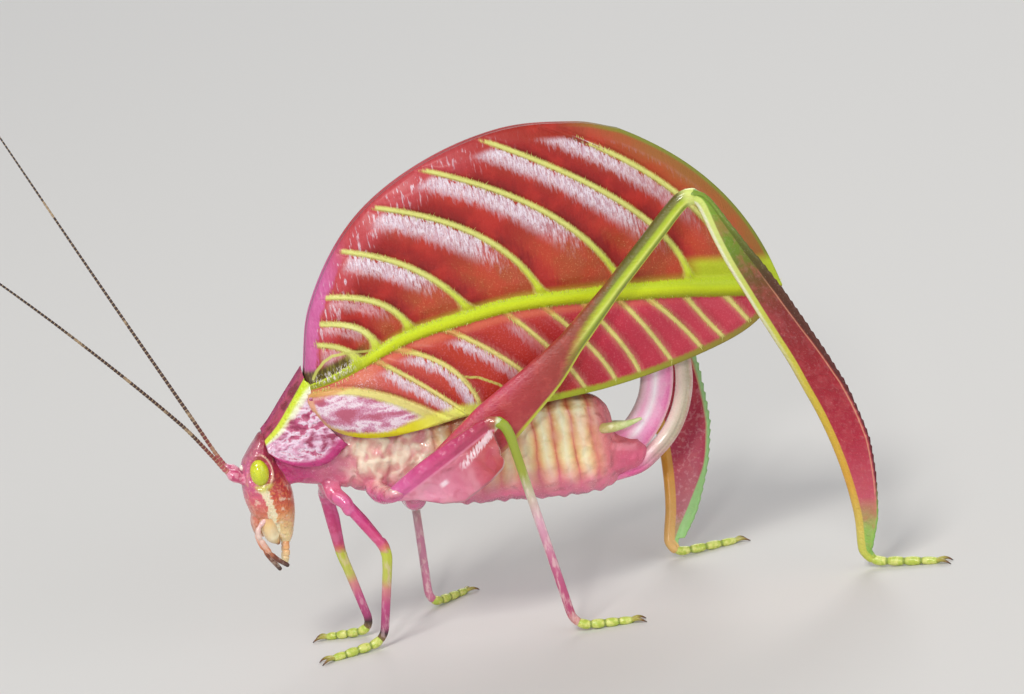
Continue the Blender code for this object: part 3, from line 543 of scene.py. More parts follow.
# Dark olive cell above the front of the midrib
base = paint.times(field_mark, (x_mark, -4.2, -5.4), (rib_mark, 1.15, 0.75))
dark_olive = paint.mix(paint.rise(streaks, 0.5, 0.64), (70, 70, 12), (124, 122, 30))
colour = paint.over(colour, dark_olive, base, 0.92)
# Veins: a fine dark line below, a fuzzy yellow-green edge, then the midrib and its two sides
wide = paint.ratio(vein_mark, paint.mark("vein_width"))
shade = paint.times((above, 0.24, 0.16), (rim_mark, 0.6, 1.2), field_mark)
colour = paint.over(colour, (92, 50, 16), shade, 0.55)
fuzz_edge = paint.sway(wide, fine_streaks, 2.2)
fade_out = paint.sway(rim_mark, streaks, 1.2)
fade_out = paint.less(fade_out, paint.rise(x_mark, 6.5, 9.0))
vein_end = paint.times((fade_out, 0.1, 0.6), paint.less(1.0, lilac))
vein_end = paint.most(vein_end, lower_field)
colour = paint.over(colour, (204, 200, 104), (fuzz_edge, 2.6, 1.2), vein_end, 0.7)
vein_colour = paint.mix(paint.rise(row_mark, 0.0, 0.45), (196, 212, 26), (216, 216, 122))
vein_colour = paint.over(vein_colour, (236, 214, 134), lower_field, 0.6)
vein_edge = paint.sway(wide, grain, 0.9)
colour = paint.over(colour, vein_colour, (vein_edge, 1.45, 0.95), vein_end)
colour = paint.over(colour, (200, 200, 100), (thin_mark, 0.12, 0.05), 0.9)
rib_share = paint.ratio(paint.sum("ABSOLUTE", rib_mark), paint.mark("rib_width"))
glow = paint.times((rib_share, 2.0, 1.0), field_mark, (x_mark, -5.0, -2.0))
colour = paint.over(colour, (160, 150, 16), glow, 0.6)
under = paint.times((rib_mark, -1.15, -0.75), lower_field, (x_mark, 18.0, 10.0))
colour = paint.over(colour, (214, 108, 78), under, 0.6)
rib_colour = paint.ramp(
    paint.rise(paint.scaled(grain, 0.3, rib_mark), -0.5, 0.65), (0.0, 150, 156, 6), (0.35, 186, 196, 4),
    (0.7, 206, 222, 16), (1.0, 188, 208, 30),
)
rib_edge = paint.sway(rib_share, fine_streaks, 0.7)
olive_front = paint.times((x_mark, -4.0, -6.4), (rib_share, 1.0, 0.5), 0.75)
rib_colour = paint.over(
    rib_colour, paint.mix(paint.rise(streaks, 0.4, 0.6), (96, 92, 20), (156, 156, 60)), olive_front,
)
colour = paint.over(colour, rib_colour, (rib_edge, 1.15, 0.88))
# Loose white hairs over the root of the midrib
tuft = paint.times((x_mark, -8.3, -5.6, 0.3), (rib_mark, -0.05, 0.55, 0.12), (fine_streaks, 0.52, 0.6))
colour = paint.over(colour, (236, 226, 226), tuft, 0.8)
patch = paint.times((x_mark, 16.6, 18.4), (rib_mark, 2.3, 1.5), (rib_mark, -0.2, 0.3))
colour = paint.over(colour, paint.mix(grain, (170, 194, 14), (204, 220, 50)), patch, 0.9)
# Lower margin: bright yellow in front, a pale painted glow where the margin turns down into shade, green
# behind
edge_low = paint.scaled(paint.band(x_mark, -3.2, 2.2, 1.2), 0.5, 0.38)
edge_low = paint.scaled(paint.rise(x_mark, 2.0, 7.0), 0.1, edge_low)
edge_share = paint.ratio(paint.sway(rim_mark, fine_streaks, 0.3), edge_low)
lower_edge = paint.times(lower_field, (edge_share, 1.25, 0.6))
edge_colour_and_glow = paint.ramp(
    paint.rise(x_mark, -12.0, 22.0), (0.0, 210, 130, 140), (0.04, 222, 170, 120), (0.075, 240, 228, 20),
    (0.19, 238, 232, 50), (0.28, 248, 255, 128), (0.4, 232, 246, 90), (0.62, 176, 186, 40),
    (1.0, 150, 132, 50),
)
colour = paint.over(colour, edge_colour_and_glow, lower_edge)
paint.bump((paint.scaled(fine_streaks, 0.7, paint.times(streaks, 0.5)), 0.06), (grain, 0.035))
rough = paint.scaled(grain, 0.3, 0.34)
rough = paint.less(rough, paint.times(sheen_and_down, 0.12))
wing_skin = paint.done(colour, rough)

# Hairs
paint = Paint("vein_hair", coat=0.2)
strand = paint.noise(8.0, 2.0)
paint.bump((strand, 0.01))
hair_skin = paint.done(paint.mix(strand, (196, 200, 84), (232, 230, 150)), 0.4)


HAIR_STEP, HAIR_LENGTHS, HAIR_THICKNESSES = 0.15, (0.2, 0.46), (0.024, 0.04)
VEIN_HALF_WIDTH, VEIN_HEIGHT, RIB_HEIGHT = 0.08, 0.15, 0.3
MAP_MARGIN, MAP_PART, PATCH = 0.04, 0.9, 0.003
WING_CORNER, WING_LENGTH, WING_HEIGHT = (-14.8, 14.0), 33.3, 18.5


def vein_hairs(side, seed):
    """Short tapering hairs on both flanks of each vein and the midrib, each with its own patch of map."""
    random = np.random.default_rng(seed)
    points, faces, corners = [], [], []
    lines = [(wing_point(m, np.linspace(0.04, 0.9, 60), True), False) for m, *_ in UPPER_VEINS]
    lines += [(wing_point(m, np.linspace(0.04, 0.96, 60), False), False) for m, *_ in LOWER_VEINS]
    for line, on_rib in lines + [(RIB_TABLE, True)]:
        half = read(MIDRIB_WIDTH, line[:, 0]).mean() if on_rib else VEIN_HALF_WIDTH
        height = RIB_HEIGHT if on_rib else VEIN_HEIGHT
        marks = lengths(line)
        for place in np.arange(0.1, marks[-1], HAIR_STEP):
            place += random.uniform(-0.07, 0.07)
            x, z = (np.interp(place, marks, line[:, k]) for k in (0, 1))
            flank = random.choice((-1, 1), p=(0.35, 0.65))
            root = np.array((x, side * (half_spread(x, z) + height * 0.5), z + flank * half * 0.7))
            reach = random.uniform(*HAIR_LENGTHS) * (0.75 if on_rib else 1.25 if x < 0 else 1.0)
            along, out = random.normal(0, 0.25), random.uniform(0.35, 0.8)
            lean = np.array((along, side * out, flank * random.uniform(0.5, 1.0)))
            thick = random.uniform(*HAIR_THICKNESSES)
            start = len(points)
            for turn in range(3):
                spin = 2 * math.pi * turn / 3
                points.append(root + thick * np.array((math.cos(spin), 0.0, math.sin(spin))))
            points.append(root + unit(lean) * reach)
            for a, b, c in ((0, 1, 3), (1, 2, 3), (2, 0, 3), (0, 2, 1)):
                faces.append([start + a, start + b, start + c])
            # The patch stands at the hair's root on the flattened wing
            u = MAP_MARGIN + MAP_PART * (x - WING_CORNER[0]) / WING_LENGTH
            v = MAP_MARGIN + MAP_PART * (z - WING_CORNER[1]) / WING_HEIGHT
            corners += [(u, v), (u + PATCH, v), (u + PATCH / 2, v + PATCH)] * 4
    return np.array(points), faces, corners


for name, side in (("left", -1), ("right", 1)):
    points, faces, corners = vein_hairs(side, 7 if side < 0 else 8)
    hairs = add_piece("vein_hairs_" + name, points, faces, hair_skin, flat=True)
    unwrap = hairs.data.uv_layers.new(name="OFBake")
    unwrap.data.foreach_set("uv", np.array(corners, np.float32).ravel())
    hand_over(hairs, "wing")

for name, side in (("tegmen_left", -1), ("tegmen_right", 1)):
    outer = np.stack([places[:, 0], side * (spread + relief), places[:, 1]], 1)
    hidden = np.stack([places[:, 0], side * (spread - thickness), places[:, 1]], 1)
    back = len(places)
    faces = wing_faces + [[i + back for i in face[::-1]] for face in wing_faces]
    faces += [[b, a, a + back, b + back] for a, b in open_edges(wing_faces)]
    values = {
        "cell": cell, "row": row, "field": is_upper, "vein_gap": vein_gap, "rib_gap": rib_gap,
        "rim_gap": rim_gap, "above_gap": above_gap, "below_gap": below_gap, "thin_gap": thin_gap,
        "rib_width": rib_width, "vein_width": vein_width,
    }
    values = {key: np.concatenate([v, v]) for key, v in values.items()}
    wing = add_piece(name.replace("tegmen", "forewing"), np.vstack([outer, hidden]), faces, wing_skin, values)
    hand_over(wing, "wing", name)

# Trunk
# Thorax, belly, hip pieces and the soft neck are one skin of thin flexible cuticle: smooth cushions on
# the chest, nine belly rings with upright side pleats, and a puckered keel of folds underneath. The
# hip pieces grow out of the chest's underside and carry the legs.
TRUNK = np.array([
    (-17.3, 11.6, 13.9, 0.7), (-16.6, 11.7, 14.2, 0.8), (-15.75, 11.8, 15.0, 0.9), (-15.0, 11.6, 16.4, 1.0),
    (-14.0, 11.35, 17.9, 1.15), (-13.0, 11.0, 17.8, 1.4), (-12.0, 10.6, 17.0, 1.75),
    (-10.8, 10.15, 16.2, 2.05), (-9.2, 9.55, 15.8, 2.2), (-7.6, 8.95, 15.6, 2.25), (-5.0, 8.1, 15.4, 2.3),
    (-2.0, 7.7, 15.1, 2.3), (1.5, 7.2, 14.5, 2.15), (3.6, 7.05, 14.0, 1.9), (4.8, 7.15, 13.55, 1.5),
    (5.45, 7.45, 12.9, 1.0), (5.7, 7.9, 12.2, 0.6),
])
BELLY_START = -6.5
RING_LENGTH = 1.32
HIPS = {
    "front_left": [(-13.5, -0.5, 11.4), (-13.4, -0.95, 10.75), (-12.85, -1.65, 10.2), (-12.7, -1.75, 9.7)],
    "front_right": [(-13.7, 0.5, 11.4), (-13.7, 0.95, 10.85), (-13.85, 1.6, 10.25), (-13.82, 1.7, 9.8)],
    "mid_left": [(-10.7, -1.4, 10.7), (-10.5, -2.15, 10.45), (-9.95, -4.2, 10.7), (-9.6, -4.3, 10.8)],
    "mid_right": [(-10.7, 1.4, 10.7), (-10.5, 2.15, 10.45), (-9.95, 3.8, 10.6), (-9.8, 4.1, 10.7)],
    "hind_left": [(-8.5, -1.5, 9.9), (-8.4, -2.45, 9.7), (-8.5, -3.5, 10.3), (-8.2, -3.6, 10.5)],
    "hind_right": [(-8.5, 1.5, 9.9), (-8.4, 2.45, 9.7), (-8.5, 3.4, 10.3), (-8.2, 3.6, 10.5)],
}
HIP_RADII = {"front": (0.6, 0.43), "mid": (0.7, 0.48), "hind": (0.85, 0.55)}
TAIL_ROOT, TAIL_ROOT_RADII = [(4.4, 0, 9.6), (5.4, 0, 9.3), (6.5, 0, 9.15)], [(0, 1.8), (0.5, 1.6), (1, 1.3)]
TAIL_KEEL = np.array((1.0, 0.0, -1.0))
CHEST_CLEFTS = (-11.6, -9.2)
SKIN_GRAIN, SKIN_ROUNDS = 0.075, 4
CAP_TURNS = [0.35, 0.7, 1.1, 1.45]
DOWN = np.array((0.0, 0.0, -1.0))


def loft(rings):
    """Points and faces of a closed skin over rings of equally many points."""
    sides, count = len(rings[0]), len(rings)
    faces = [list(range(sides))[::-1], list(range((count - 1) * sides, count * sides))]
    for r in range(count - 1):
        for j in range(sides):
            k = (j + 1) % sides
            faces.append([r * sides + j, r * sides + k, (r + 1) * sides + k, (r + 1) * sides + j])
    return np.vstack(rings), faces


def tube(line, ring_at, keel):
    """Closed skin along a line. `ring_at(share)` gives each ring's offsets to the keel side and aside."""
    line = np.asarray(line, float)
    marks = lengths(line)
    rings, along, drops = [], [], []
    ways = np.gradient(line, axis=0)
    for i, place in enumerate(line):
        way = unit(ways[i])
        below = unit(keel - way * (keel @ way))
        across = np.cross(way, below)
        share = marks[i] / marks[-1]
        down, out = ring_at(share)
        ring = down[:, None] * below + out[:, None] * across
        # Both ends close in a rounded cap
        turns = [0.0]
        if i == 0:
            turns = [-turn for turn in CAP_TURNS[::-1]] + turns
        if i == len(line) - 1:
            turns = turns + CAP_TURNS
        for turn in turns:
            rings.append(place + way * np.abs(out).max() * math.sin(turn) + ring * math.cos(turn))
            along.append(np.full(len(down), share))
            drops.append(down)
    points, faces = loft(rings)
    return points, faces, {"along": np.concatenate(along), "drop": np.concatenate(drops)}


def round_turns(sides, shift=0.0):
    return 2 * np.pi * (np.arange(sides) + shift) / sides


def blunt(values, power):
    """Sines or cosines made blunter, which squares a round ring a little."""
    return np.sign(values) * np.abs(values) ** power


def round_ring(radii, sides=28):
    turns = round_turns(sides, 0.5)
    return lambda share: (np.cos(turns) * read(radii, share), np.sin(turns) * read(radii, share))


def join(shapes):
    """Several shapes as one list of points and faces, with their values."""
    points, faces, values = [], [], {}
    start = 0
    for shape_points, shape_faces, shape_values in shapes:
        points.append(shape_points)
        faces += [[i + start for i in face] for face in shape_faces]
        start += len(shape_points)
        for key, value in shape_values.items():
            values.setdefault(key, []).append(value)
    return np.vstack(points), faces, {key: np.concatenate(value) for key, value in values.items()}


rings = []
turns = round_turns(72)
for x, low, high, half in smooth_line(TRUNK, 190):
    height = np.cos(turns)
    y = blunt(np.sin(turns), 0.78) * half
    z = (low + high) / 2 + height * (high - low) / 2
    if x > BELLY_START:
        phase = (x - BELLY_START) / RING_LENGTH
        groove = abs(math.sin(math.pi * phase)) ** 0.5
        flank = np.clip(1 - np.abs(height + 0.05) / 0.7, 0, 1)
        push = -0.06 * (1 - groove) - 0.1 * (1 - groove) * flank + 0.05 * np.sin(9 * height + 2.1 * x) * flank
        keel = np.clip(-height - 0.72, 0, 1) / 0.28
        push += keel * 0.07 * (math.sin(4.76 * x + 0.4) + 0.7 * math.sin(7.7 * x + 1.0))
        push += 0.1 * hump(height, -0.62, 0.07) * groove
    else:
        # Soft cushions of the chest with two deep clefts between them
        lump = np.sin(2.7 * x + 1.4 * np.sin(1.6 * z)) * np.sin(2.5 * z + 0.9 * x + 0.5)
        lump = lump + 0.5 * np.sin(4.9 * x + 0.8 * z) * np.cos(4.1 * z - 0.6 * x)
        push = 0.15 * lump * np.clip(1.1 - np.abs(height + 0.1) / 0.9, 0, 1)
        for cleft in CHEST_CLEFTS:
            push -= 0.18 * hump(x - 0.28 * (z - 13.0), cleft, 0.17)
    rings.append(np.stack([np.full_like(turns, x), y * (1 + push / max(half, 0.5)), z + push * height], 1))
shapes = [(*loft(rings), {})]
for key, path in HIPS.items():
    wide, narrow = HIP_RADII[key.split("_")[0]]
    radii = [(0, wide), (0.5, wide * 0.9), (0.8, narrow * 1.08), (1, narrow)]
    points, faces, _ = tube(smooth_line(path, 14), round_ring(radii), DOWN)
    shapes.append((points, faces, {}))
points, faces, _ = tube(smooth_line(TAIL_ROOT, 12), round_ring(TAIL_ROOT_RADII), TAIL_KEEL)
shapes.append((points * (1, 0.75, 1), faces, {}))
points, faces, _ = join(shapes)


def one_skin(piece, grain, rounds):
    """Fuse a piece's overlapping closed shapes into one skin of this grain, then smooth it."""
    fuse = piece.modifiers.new("fuse", "REMESH")
    fuse.mode = "VOXEL"
    fuse.voxel_size = grain * MM
    smooth = piece.modifiers.new("smooth", "SMOOTH")
    smooth.factor = 0.5
    smooth.iterations = rounds
    graph = bpy.context.evaluated_depsgraph_get()
    mesh = bpy.data.meshes.new_from_object(piece.evaluated_get(graph))
    piece.modifiers.clear()
    piece.data = mesh
    mesh.shade_smooth()


paint = Paint("trunk_skin", coat=1.0, coat_roughness=0.09, subsurface=0.3, tint=(1.0, 0.5, 0.4))
x_mark, z_mark = paint.axis("X"), paint.axis("Z")
cloud, lumps, grain = paint.noise(0.7, 2.0), paint.noise(1.15, 0.6, 0.4, 0.5), paint.noise(7.0, 3.0, 0.6)
# Belly: one broad cream pleat for each ring, orange-red grooves, pink end and magenta keel
ring_mark = paint.scaled(x_mark, 1 / RING_LENGTH, 20.0 - (BELLY_START + 5.12) / RING_LENGTH)
bend = paint.sway(ring_mark, paint.noise((0.8, 1.0, 0.4), 2.0), 0.45)
pleat = paint.beat(bend)
belly = paint.ramp(
    pleat, (0.0, 252, 240, 200), (0.2, 248, 224, 166), (0.34, 240, 192, 130), (0.44, 230, 152, 104),
    (0.5, 216, 116, 84),
)
belly = paint.over(belly, (238, 168, 140), (cloud, 0.45, 0.65), 0.4)
belly = paint.over(belly, (220, 112, 120), (x_mark, 8.6, 10.2))
# Chest: pale on the tops of its cushions, with painted pink shade in the hollows between them
chest_and_shade = paint.ramp(lumps, (0.32, 220, 144, 148), (0.44, 228, 182, 164), (0.54, 244, 224, 200))
chest_and_shade = paint.over(chest_and_shade, (230, 156, 166), (cloud, 0.5, 0.7), 0.5)
chest_and_shade = paint.over(chest_and_shade, (218, 112, 146), (x_mark, -6.0, -8.2))
chest_and_shade = paint.over(chest_and_shade, (252, 240, 226), (grain, 0.56, 0.72), 0.15)
colour = paint.mix(paint.rise(x_mark, -2.0, -0.8), chest_and_shade, belly)
lowness = paint.less(z_mark, paint.scaled(x_mark, -0.17, 9.0))
pinkness = paint.sway(lowness, cloud, 1.8)
colour = paint.over(colour, (228, 112, 146), (pinkness, 2.4, -0.2))
colour = paint.over(colour, (200, 60, 126), (pinkness, 0.1, -1.2))
# Hips are pink like the thighs that they carry
colour = paint.over(colour, (216, 96, 150), (z_mark, 11.2, 10.4), (x_mark, -1.6, -2.6))
high = paint.times((z_mark, 13.2, 14.6), (x_mark, -3.0, 0.0))
colour = paint.over(colour, (206, 112, 92), high, 0.8)
colour = paint.over(colour, (206, 50, 124), (x_mark, -8.4, -10.2))
tail_mark = paint.times((x_mark, 9.6, 11.0), (z_mark, 10.6, 9.0))
colour = paint.over(colour, (212, 84, 120), tail_mark)
paint.bump((lumps, 0.45), (paint.noise(3.0, 1.0, 0.5), 0.05), (grain, 0.025))
trunk_skin = paint.done(colour, paint.scaled(grain, 0.22, 0.14))
trunk = add_piece("trunk", points, faces, None)
one_skin(trunk, SKIN_GRAIN, SKIN_ROUNDS)
trunk.data.materials.clear()
trunk.data.materials.append(trunk_skin)
hand_over(
    trunk, "body", "thorax", "abdomen", "coxa_front_left", "coxa_front_right", "coxa_mid_left",
    "coxa_mid_right", "coxa_hind_left", "coxa_hind_right",
)

# Shield
# The saddle-shaped shield covers the neck and the front of the chest: one stiff, glossy plate with a
# raised keel along its crest, a keel on each shoulder and a round lobe hanging down each side. It is
# pitted all over and grows fast to the chest under its middle.
CREST = [(-17.3, 0.0, 15.7), (-16.7, 0.0, 16.25), (-15.6, 0.0, 17.5), (-13.95, 0.0, 19.3)]
SHOULDER = [(-17.2, -1.12, 15.0), (-16.2, -1.27, 15.85), (-15.2, -1.38, 17.05), (-13.95, -1.4, 18.6)]
LOBE_EDGE = [
    (-17.15, -1.45, 14.45), (-16.4, -1.72, 13.75), (-15.0, -1.9, 13.15), (-13.5, -2.05, 13.15),
    (-12.3, -2.15, 14.1),
]
SHIELD_THICKNESS = 0.3
ROWS, ACROSS = 60, 26
crest, shoulder, lobe = smooth_line(CREST, ROWS), smooth_line(SHOULDER, ROWS), smooth_line(LOBE_EDGE, ROWS)
outer, values = [], {"lobe": [], "back": []}
for i in range(ROWS):
    back = i / (ROWS - 1)
    half, lobes = [], []
    for part in np.linspace(0.12, 1, 8):
        point = crest[i] * (1 - part) + shoulder[i] * part
        rise = 0.1 * math.sin(math.pi * part) - 0.1 * (1 - part) ** 4
        rise += 0.1 * hump(part, 1, 0.16)
        half.append(point + np.array((0, 0, rise)))
        lobes.append(part - 1)
    for part in np.linspace(0, 1, ACROSS)[1:]:
        bow = math.sin(math.pi * part)
        point = shoulder[i] * (1 - part) + lobe[i] * part
        point = point + np.array((-0.65 * bow * back**3 + 0.3 * back**8, -0.2 * bow, 0))
        if part > 0.86:
            point = point + np.array((0, -0.07 * math.sin(math.pi * (part - 0.86) / 0.14), 0))
        half.append(point)
        lobes.append(part)
    half, lobes = np.array(half), np.array(lobes)
    top = crest[i] + np.array((0, 0, 0.16))
    outer.append(np.vstack([(half * (1, -1, 1))[::-1], top[None, :], half]))
    values["lobe"].append(np.concatenate([lobes[::-1], [-1.0], lobes]))
    values["back"].append(np.full(2 * len(half) + 1, back))
outer = np.array(outer)
width = outer.shape[1]
below_back = outer[:, :1, 2] - outer[:, :, 2]
toward = np.stack([np.zeros((ROWS, width)), -outer[:, :, 1], below_back * 0.6 - 0.3], -1)
toward /= np.linalg.norm(toward, axis=-1, keepdims=True)
under = outer + toward * SHIELD_THICKNESS
number = np.arange(ROWS * width).reshape(ROWS, width)
faces = grid_faces(number.tolist())
faces = faces + [[i + ROWS * width for i in face[::-1]] for face in faces]
faces += [[b, a, a + ROWS * width, b + ROWS * width] for a, b in open_edges(faces[:len(faces) // 2])]
values = {key: np.concatenate([np.concatenate(v), np.concatenate(v)]) for key, v in values.items()}

paint = Paint("shield", coat=0.8, coat_roughness=0.1, subsurface=0.08)
lobe_mark, back_mark = paint.mark("lobe"), paint.mark("back")
mottle = paint.noise((0.85, 1.0, 1.3), 2.0, 0.6, 0.3)
grain = paint.noise(8.0, 3.0, 0.6)
pits = paint.cells(3.6)
lobe_colour = paint.ramp(
    paint.sway(mottle, grain, 0.18), (0.3, 150, 36, 80), (0.42, 190, 80, 122), (0.5, 232, 210, 226),
    (0.58, 214, 154, 184), (0.68, 154, 42, 86),
)
rim = paint.rise(lobe_mark, 0.84, 0.92)
colour = paint.mix(rim, lobe_colour, (190, 36, 116))
disc = paint.mix(paint.rise(mottle, 0.4, 0.6), (136, 24, 46), (186, 66, 96))
colour = paint.over(colour, disc, (lobe_mark, -0.02, -0.14))
# Painted pink highlight along the crest
colour = paint.over(colour, (176, 70, 110), (lobe_mark, -0.8, -0.92))
keel = paint.band(lobe_mark, -0.17, 0.1, 0.05)
colour = paint.over(colour, paint.mix(back_mark, (222, 230, 70), (206, 226, 14)), keel)
pale_side = paint.times((lobe_mark, 0.06, 0.17, 0.04), (mottle, 0.3, 0.5))
colour = paint.over(colour, (244, 244, 206), pale_side, 0.8)
paint.bump((mottle, 0.3), (paint.rise(pits, 0.0, 0.4), 0.05), (grain, 0.025))
shield_skin = paint.done(colour, paint.scaled(grain, 0.2, 0.2))
points = np.vstack([outer.reshape(-1, 3), under.reshape(-1, 3)])
shield = add_piece("shield", points, faces, shield_skin, values)
hand_over(shield, "shield", "pronotum")

# Head capsule
# A hard, steeply tilted capsule on the soft neck. A blunt crown stands between the feelers, the face
# drops to a plate above the mouth, and a groove runs from each eye to the jaw's hinge.
HEAD_ROWS = [
    (15.6, -17.5, -17.15, 0.3), (15.48, -17.62, -17.05, 0.55), (15.2, -17.86, -16.95, 0.84),
    (14.85, -18.18, -16.9, 1.04), (14.4, -18.56, -16.85, 1.18), (13.9, -18.92, -16.7, 1.3),
    (13.2, -19.12, -16.45, 1.46), (12.5, -19.2, -16.2, 1.56), (11.5, -19.2, -16.0, 1.6),
    (10.7, -19.05, -16.0, 1.52), (10.2, -18.9, -16.05, 1.42), (9.8, -18.6, -16.12, 1.28),
    (9.4, -18.15, -16.22, 1.12), (9.0, -17.8, -16.34, 0.98), (8.5, -17.55, -16.5, 0.8),
    (8.05, -17.38, -16.75, 0.5), (7.85, -17.2, -16.95, 0.3),
]
EYE_PLACE = np.array((-17.95, -1.28, 13.25))
EYE_RADII = np.array((0.62, 0.56, 0.88))
turns = round_turns(96)
rings = []
for z, front, back, half in smooth_line(HEAD_ROWS, 120):
    x = (front + back) / 2 + blunt(np.cos(turns), 0.8) * (front - back) / 2
    ring = np.stack([x, np.sin(turns) * half, np.full_like(turns, z)], 1)
    middle = np.array(((front + back) / 2, 0.0, z))
    # Sunken rim round each eye, face groove below it and side seams of the face
    for side in (-1, 1):
        eye = EYE_PLACE * (1, -side, 1)
        reach = np.linalg.norm((ring - eye) / EYE_RADII, axis=1)
        push = 0.1 * hump(reach, 1.3, 0.16) - 0.2 * np.exp(-((reach / 1.05) ** 4))
        seam_x = -17.75 + 0.12 * (z - 10.2)
        if z < 12.5:
            push = push - 0.07 * hump(ring[:, 0], seam_x, 0.1) * (ring[:, 1] * side > 0)
        outward = ring - middle
        ring = ring + outward * (push / np.maximum(np.linalg.norm(outward, axis=1), 0.3))[:, None]
    rings.append(ring)
points, faces = loft(rings)

# Stripe that runs from below the eye down to the jaw's hinge
STRIPE = [(8.86, -17.56), (10.1, -17.67), (11.02, -17.65), (11.98, -17.83), (12.39, -18.1), (14.6, -17.95)]
from_eye = (np.abs(points) * (-1, 1, 1) - EYE_PLACE * (1, -1, 1)) / EYE_RADII
values = {"ahead": points[:, 0] - read(STRIPE, points[:, 2]), "eye_reach": np.linalg.norm(from_eye, axis=1)}

paint = Paint("head_skin", coat=0.9, coat_roughness=0.1, subsurface=0.15)
z_mark, ahead, eye_mark = paint.axis("Z"), paint.mark("ahead"), paint.mark("eye_reach")
side_mark = paint.sum("ABSOLUTE", paint.sum("ADD", paint.axis("Y"), 1.55))
cloud, grain = paint.noise(1.3, 3.0, 0.6, 0.3), paint.noise(8.0, 3.0, 0.6)
drift = paint.sway(ahead, cloud, 0.45)
height = paint.rise(z_mark, 8.0, 15.6)
cheek = paint.ramp(
    height, (0.0, 240, 214, 156), (0.14, 232, 186, 120), (0.26, 212, 106, 60), (0.46, 192, 52, 40),
    (0.66, 170, 34, 44), (0.84, 190, 60, 86), (1.0, 168, 54, 84),
)
face = paint.ramp(
    height, (0.1, 214, 146, 96), (0.28, 212, 104, 78), (0.42, 216, 92, 104), (0.6, 210, 84, 130),
    (0.8, 214, 110, 150), (1.0, 196, 80, 126),
)
freckle = paint.noise(4.2, 3.0, 0.6)
golden = paint.times((freckle, 0.48, 0.64), (z_mark, 13.4, 11.6), (z_mark, 9.0, 10.0))
cheek = paint.over(cheek, (224, 136, 76), golden, 0.7)
face = paint.over(face, (226, 140, 130), (freckle, 0.5, 0.66), 0.5)
colour = paint.mix(paint.rise(drift, -0.1, 0.15), face, cheek)
colour = paint.over(colour, (236, 178, 150), (cloud, 0.52, 0.68), 0.45)
flank = paint.rise(side_mark, 0.5, 0.8)
uneven = paint.sway(drift, freckle, 0.5)
stripe = paint.times((paint.sum("ABSOLUTE", uneven), 0.3, 0.14), (z_mark, 8.9, 12.3, 0.25), flank)
colour = paint.over(colour, paint.mix(grain, (236, 214, 150), (252, 250, 228)), stripe, 0.92)
behind = paint.times((eye_mark, 1.3, 1.46, 0.07), (ahead, -0.3, 0.1), (z_mark, 12.0, 12.6))
colour = paint.over(colour, (240, 198, 168), behind, 0.85)
under_eye = paint.times((eye_mark, 1.75, 1.35), (z_mark, 12.6, 12.3), (ahead, -0.5, -0.2))
colour = paint.over(colour, (206, 206, 70), under_eye, 0.8)
crown = paint.rise(z_mark, 13.9, 14.6)
crown_colour = paint.mix(paint.rise(cloud, 0.42, 0.6), (190, 90, 116), (214, 146, 150))
colour = paint.over(colour, crown_colour, crown, (ahead, 0.5, 0.1))
colour = paint.over(colour, (150, 36, 56), (z_mark, 15.1, 15.4), 0.8)
# Painted white glints on the lower cheek
painted_glints = paint.times((paint.noise(2.2, 3.0), 0.56, 0.7), (z_mark, 13.0, 12.0), flank)
colour = paint.over(colour, (250, 226, 200), painted_glints, 0.6)
paint.bump((cloud, 0.2), (freckle, 0.12), (paint.rise(paint.cells(4.5), 0.0, 0.35), 0.03), (grain, 0.02))
head_skin = paint.done(colour, paint.scaled(grain, 0.25, 0.2))
head = add_piece("head_capsule", points, faces, head_skin, values)
hand_over(head, "head", "head")

# Eyes
# Two bulging oval compound eyes of many tiny lenses, let into rims at the sides of the head, and one
# small pale simple eye on the crown.


def ball(rows=40, sides=56):
    """Points and faces of a ball of radius 1, with its top at each end of Z."""
    points, faces = [(0.0, 0.0, 1.0)], []
    for r in range(1, rows):
        for j in range(sides):
            a, b = math.pi * r / rows, 2 * math.pi * j / sides
            points.append((math.sin(a) * math.cos(b), math.sin(a) * math.sin(b), math.cos(a)))
    points.append((0.0, 0.0, -1.0))
    for j in range(sides):
        k = (j + 1) % sides
        faces.append([0, 1 + j, 1 + k])
        for r in range(rows - 2):
            low = 1 + r * sides
            faces.append([low + j, low + sides + j, low + sides + k, low + k])
        low = 1 + (rows - 2) * sides
        faces.append([low + j, len(points) - 1, low + k])
    return np.array(points), faces


ball_points, ball_faces = ball()
paint = Paint("eye_lenses", coat=1.0, coat_roughness=0.06)
cloud = paint.noise(2.0, 2.0)
lens = paint.cells(13.0)
z_mark = paint.axis("Z")
colour = paint.mix(paint.rise(cloud, 0.35, 0.65), (206, 218, 10), (234, 238, 40))
colour = paint.over(colour, (176, 190, 30), (z_mark, 12.9, 12.4), 0.7)
colour = paint.over(colour, (150, 150, 20), (lens, 0.3, 0.6), 0.3)
paint.bump((paint.rise(lens, 0.6, 0.0), 0.018))
eye_skin = paint.done(colour, 0.22)
for name, side in (("left", 1), ("right", -1)):
    points = ball_points * EYE_RADII + EYE_PLACE * (1, side, 1)
    hand_over(add_piece("eye_globe_" + name, points, ball_faces, eye_skin), "eye", "eye_" + name)
paint = Paint("simple_eye", coat=1.0, coat_roughness=0.05)
paint.bump((paint.noise(9.0, 2.0), 0.01))
simple_eye = paint.done(paint.mix(paint.noise(3.0), (240, 232, 210), (252, 250, 240)), 0.2)
points = ball_points * (0.15, 0.19, 0.2) + np.array((-18.99, -0.4, 13.6))
hand_over(add_piece("simple_eye", points, ball_faces, simple_eye), "eye")

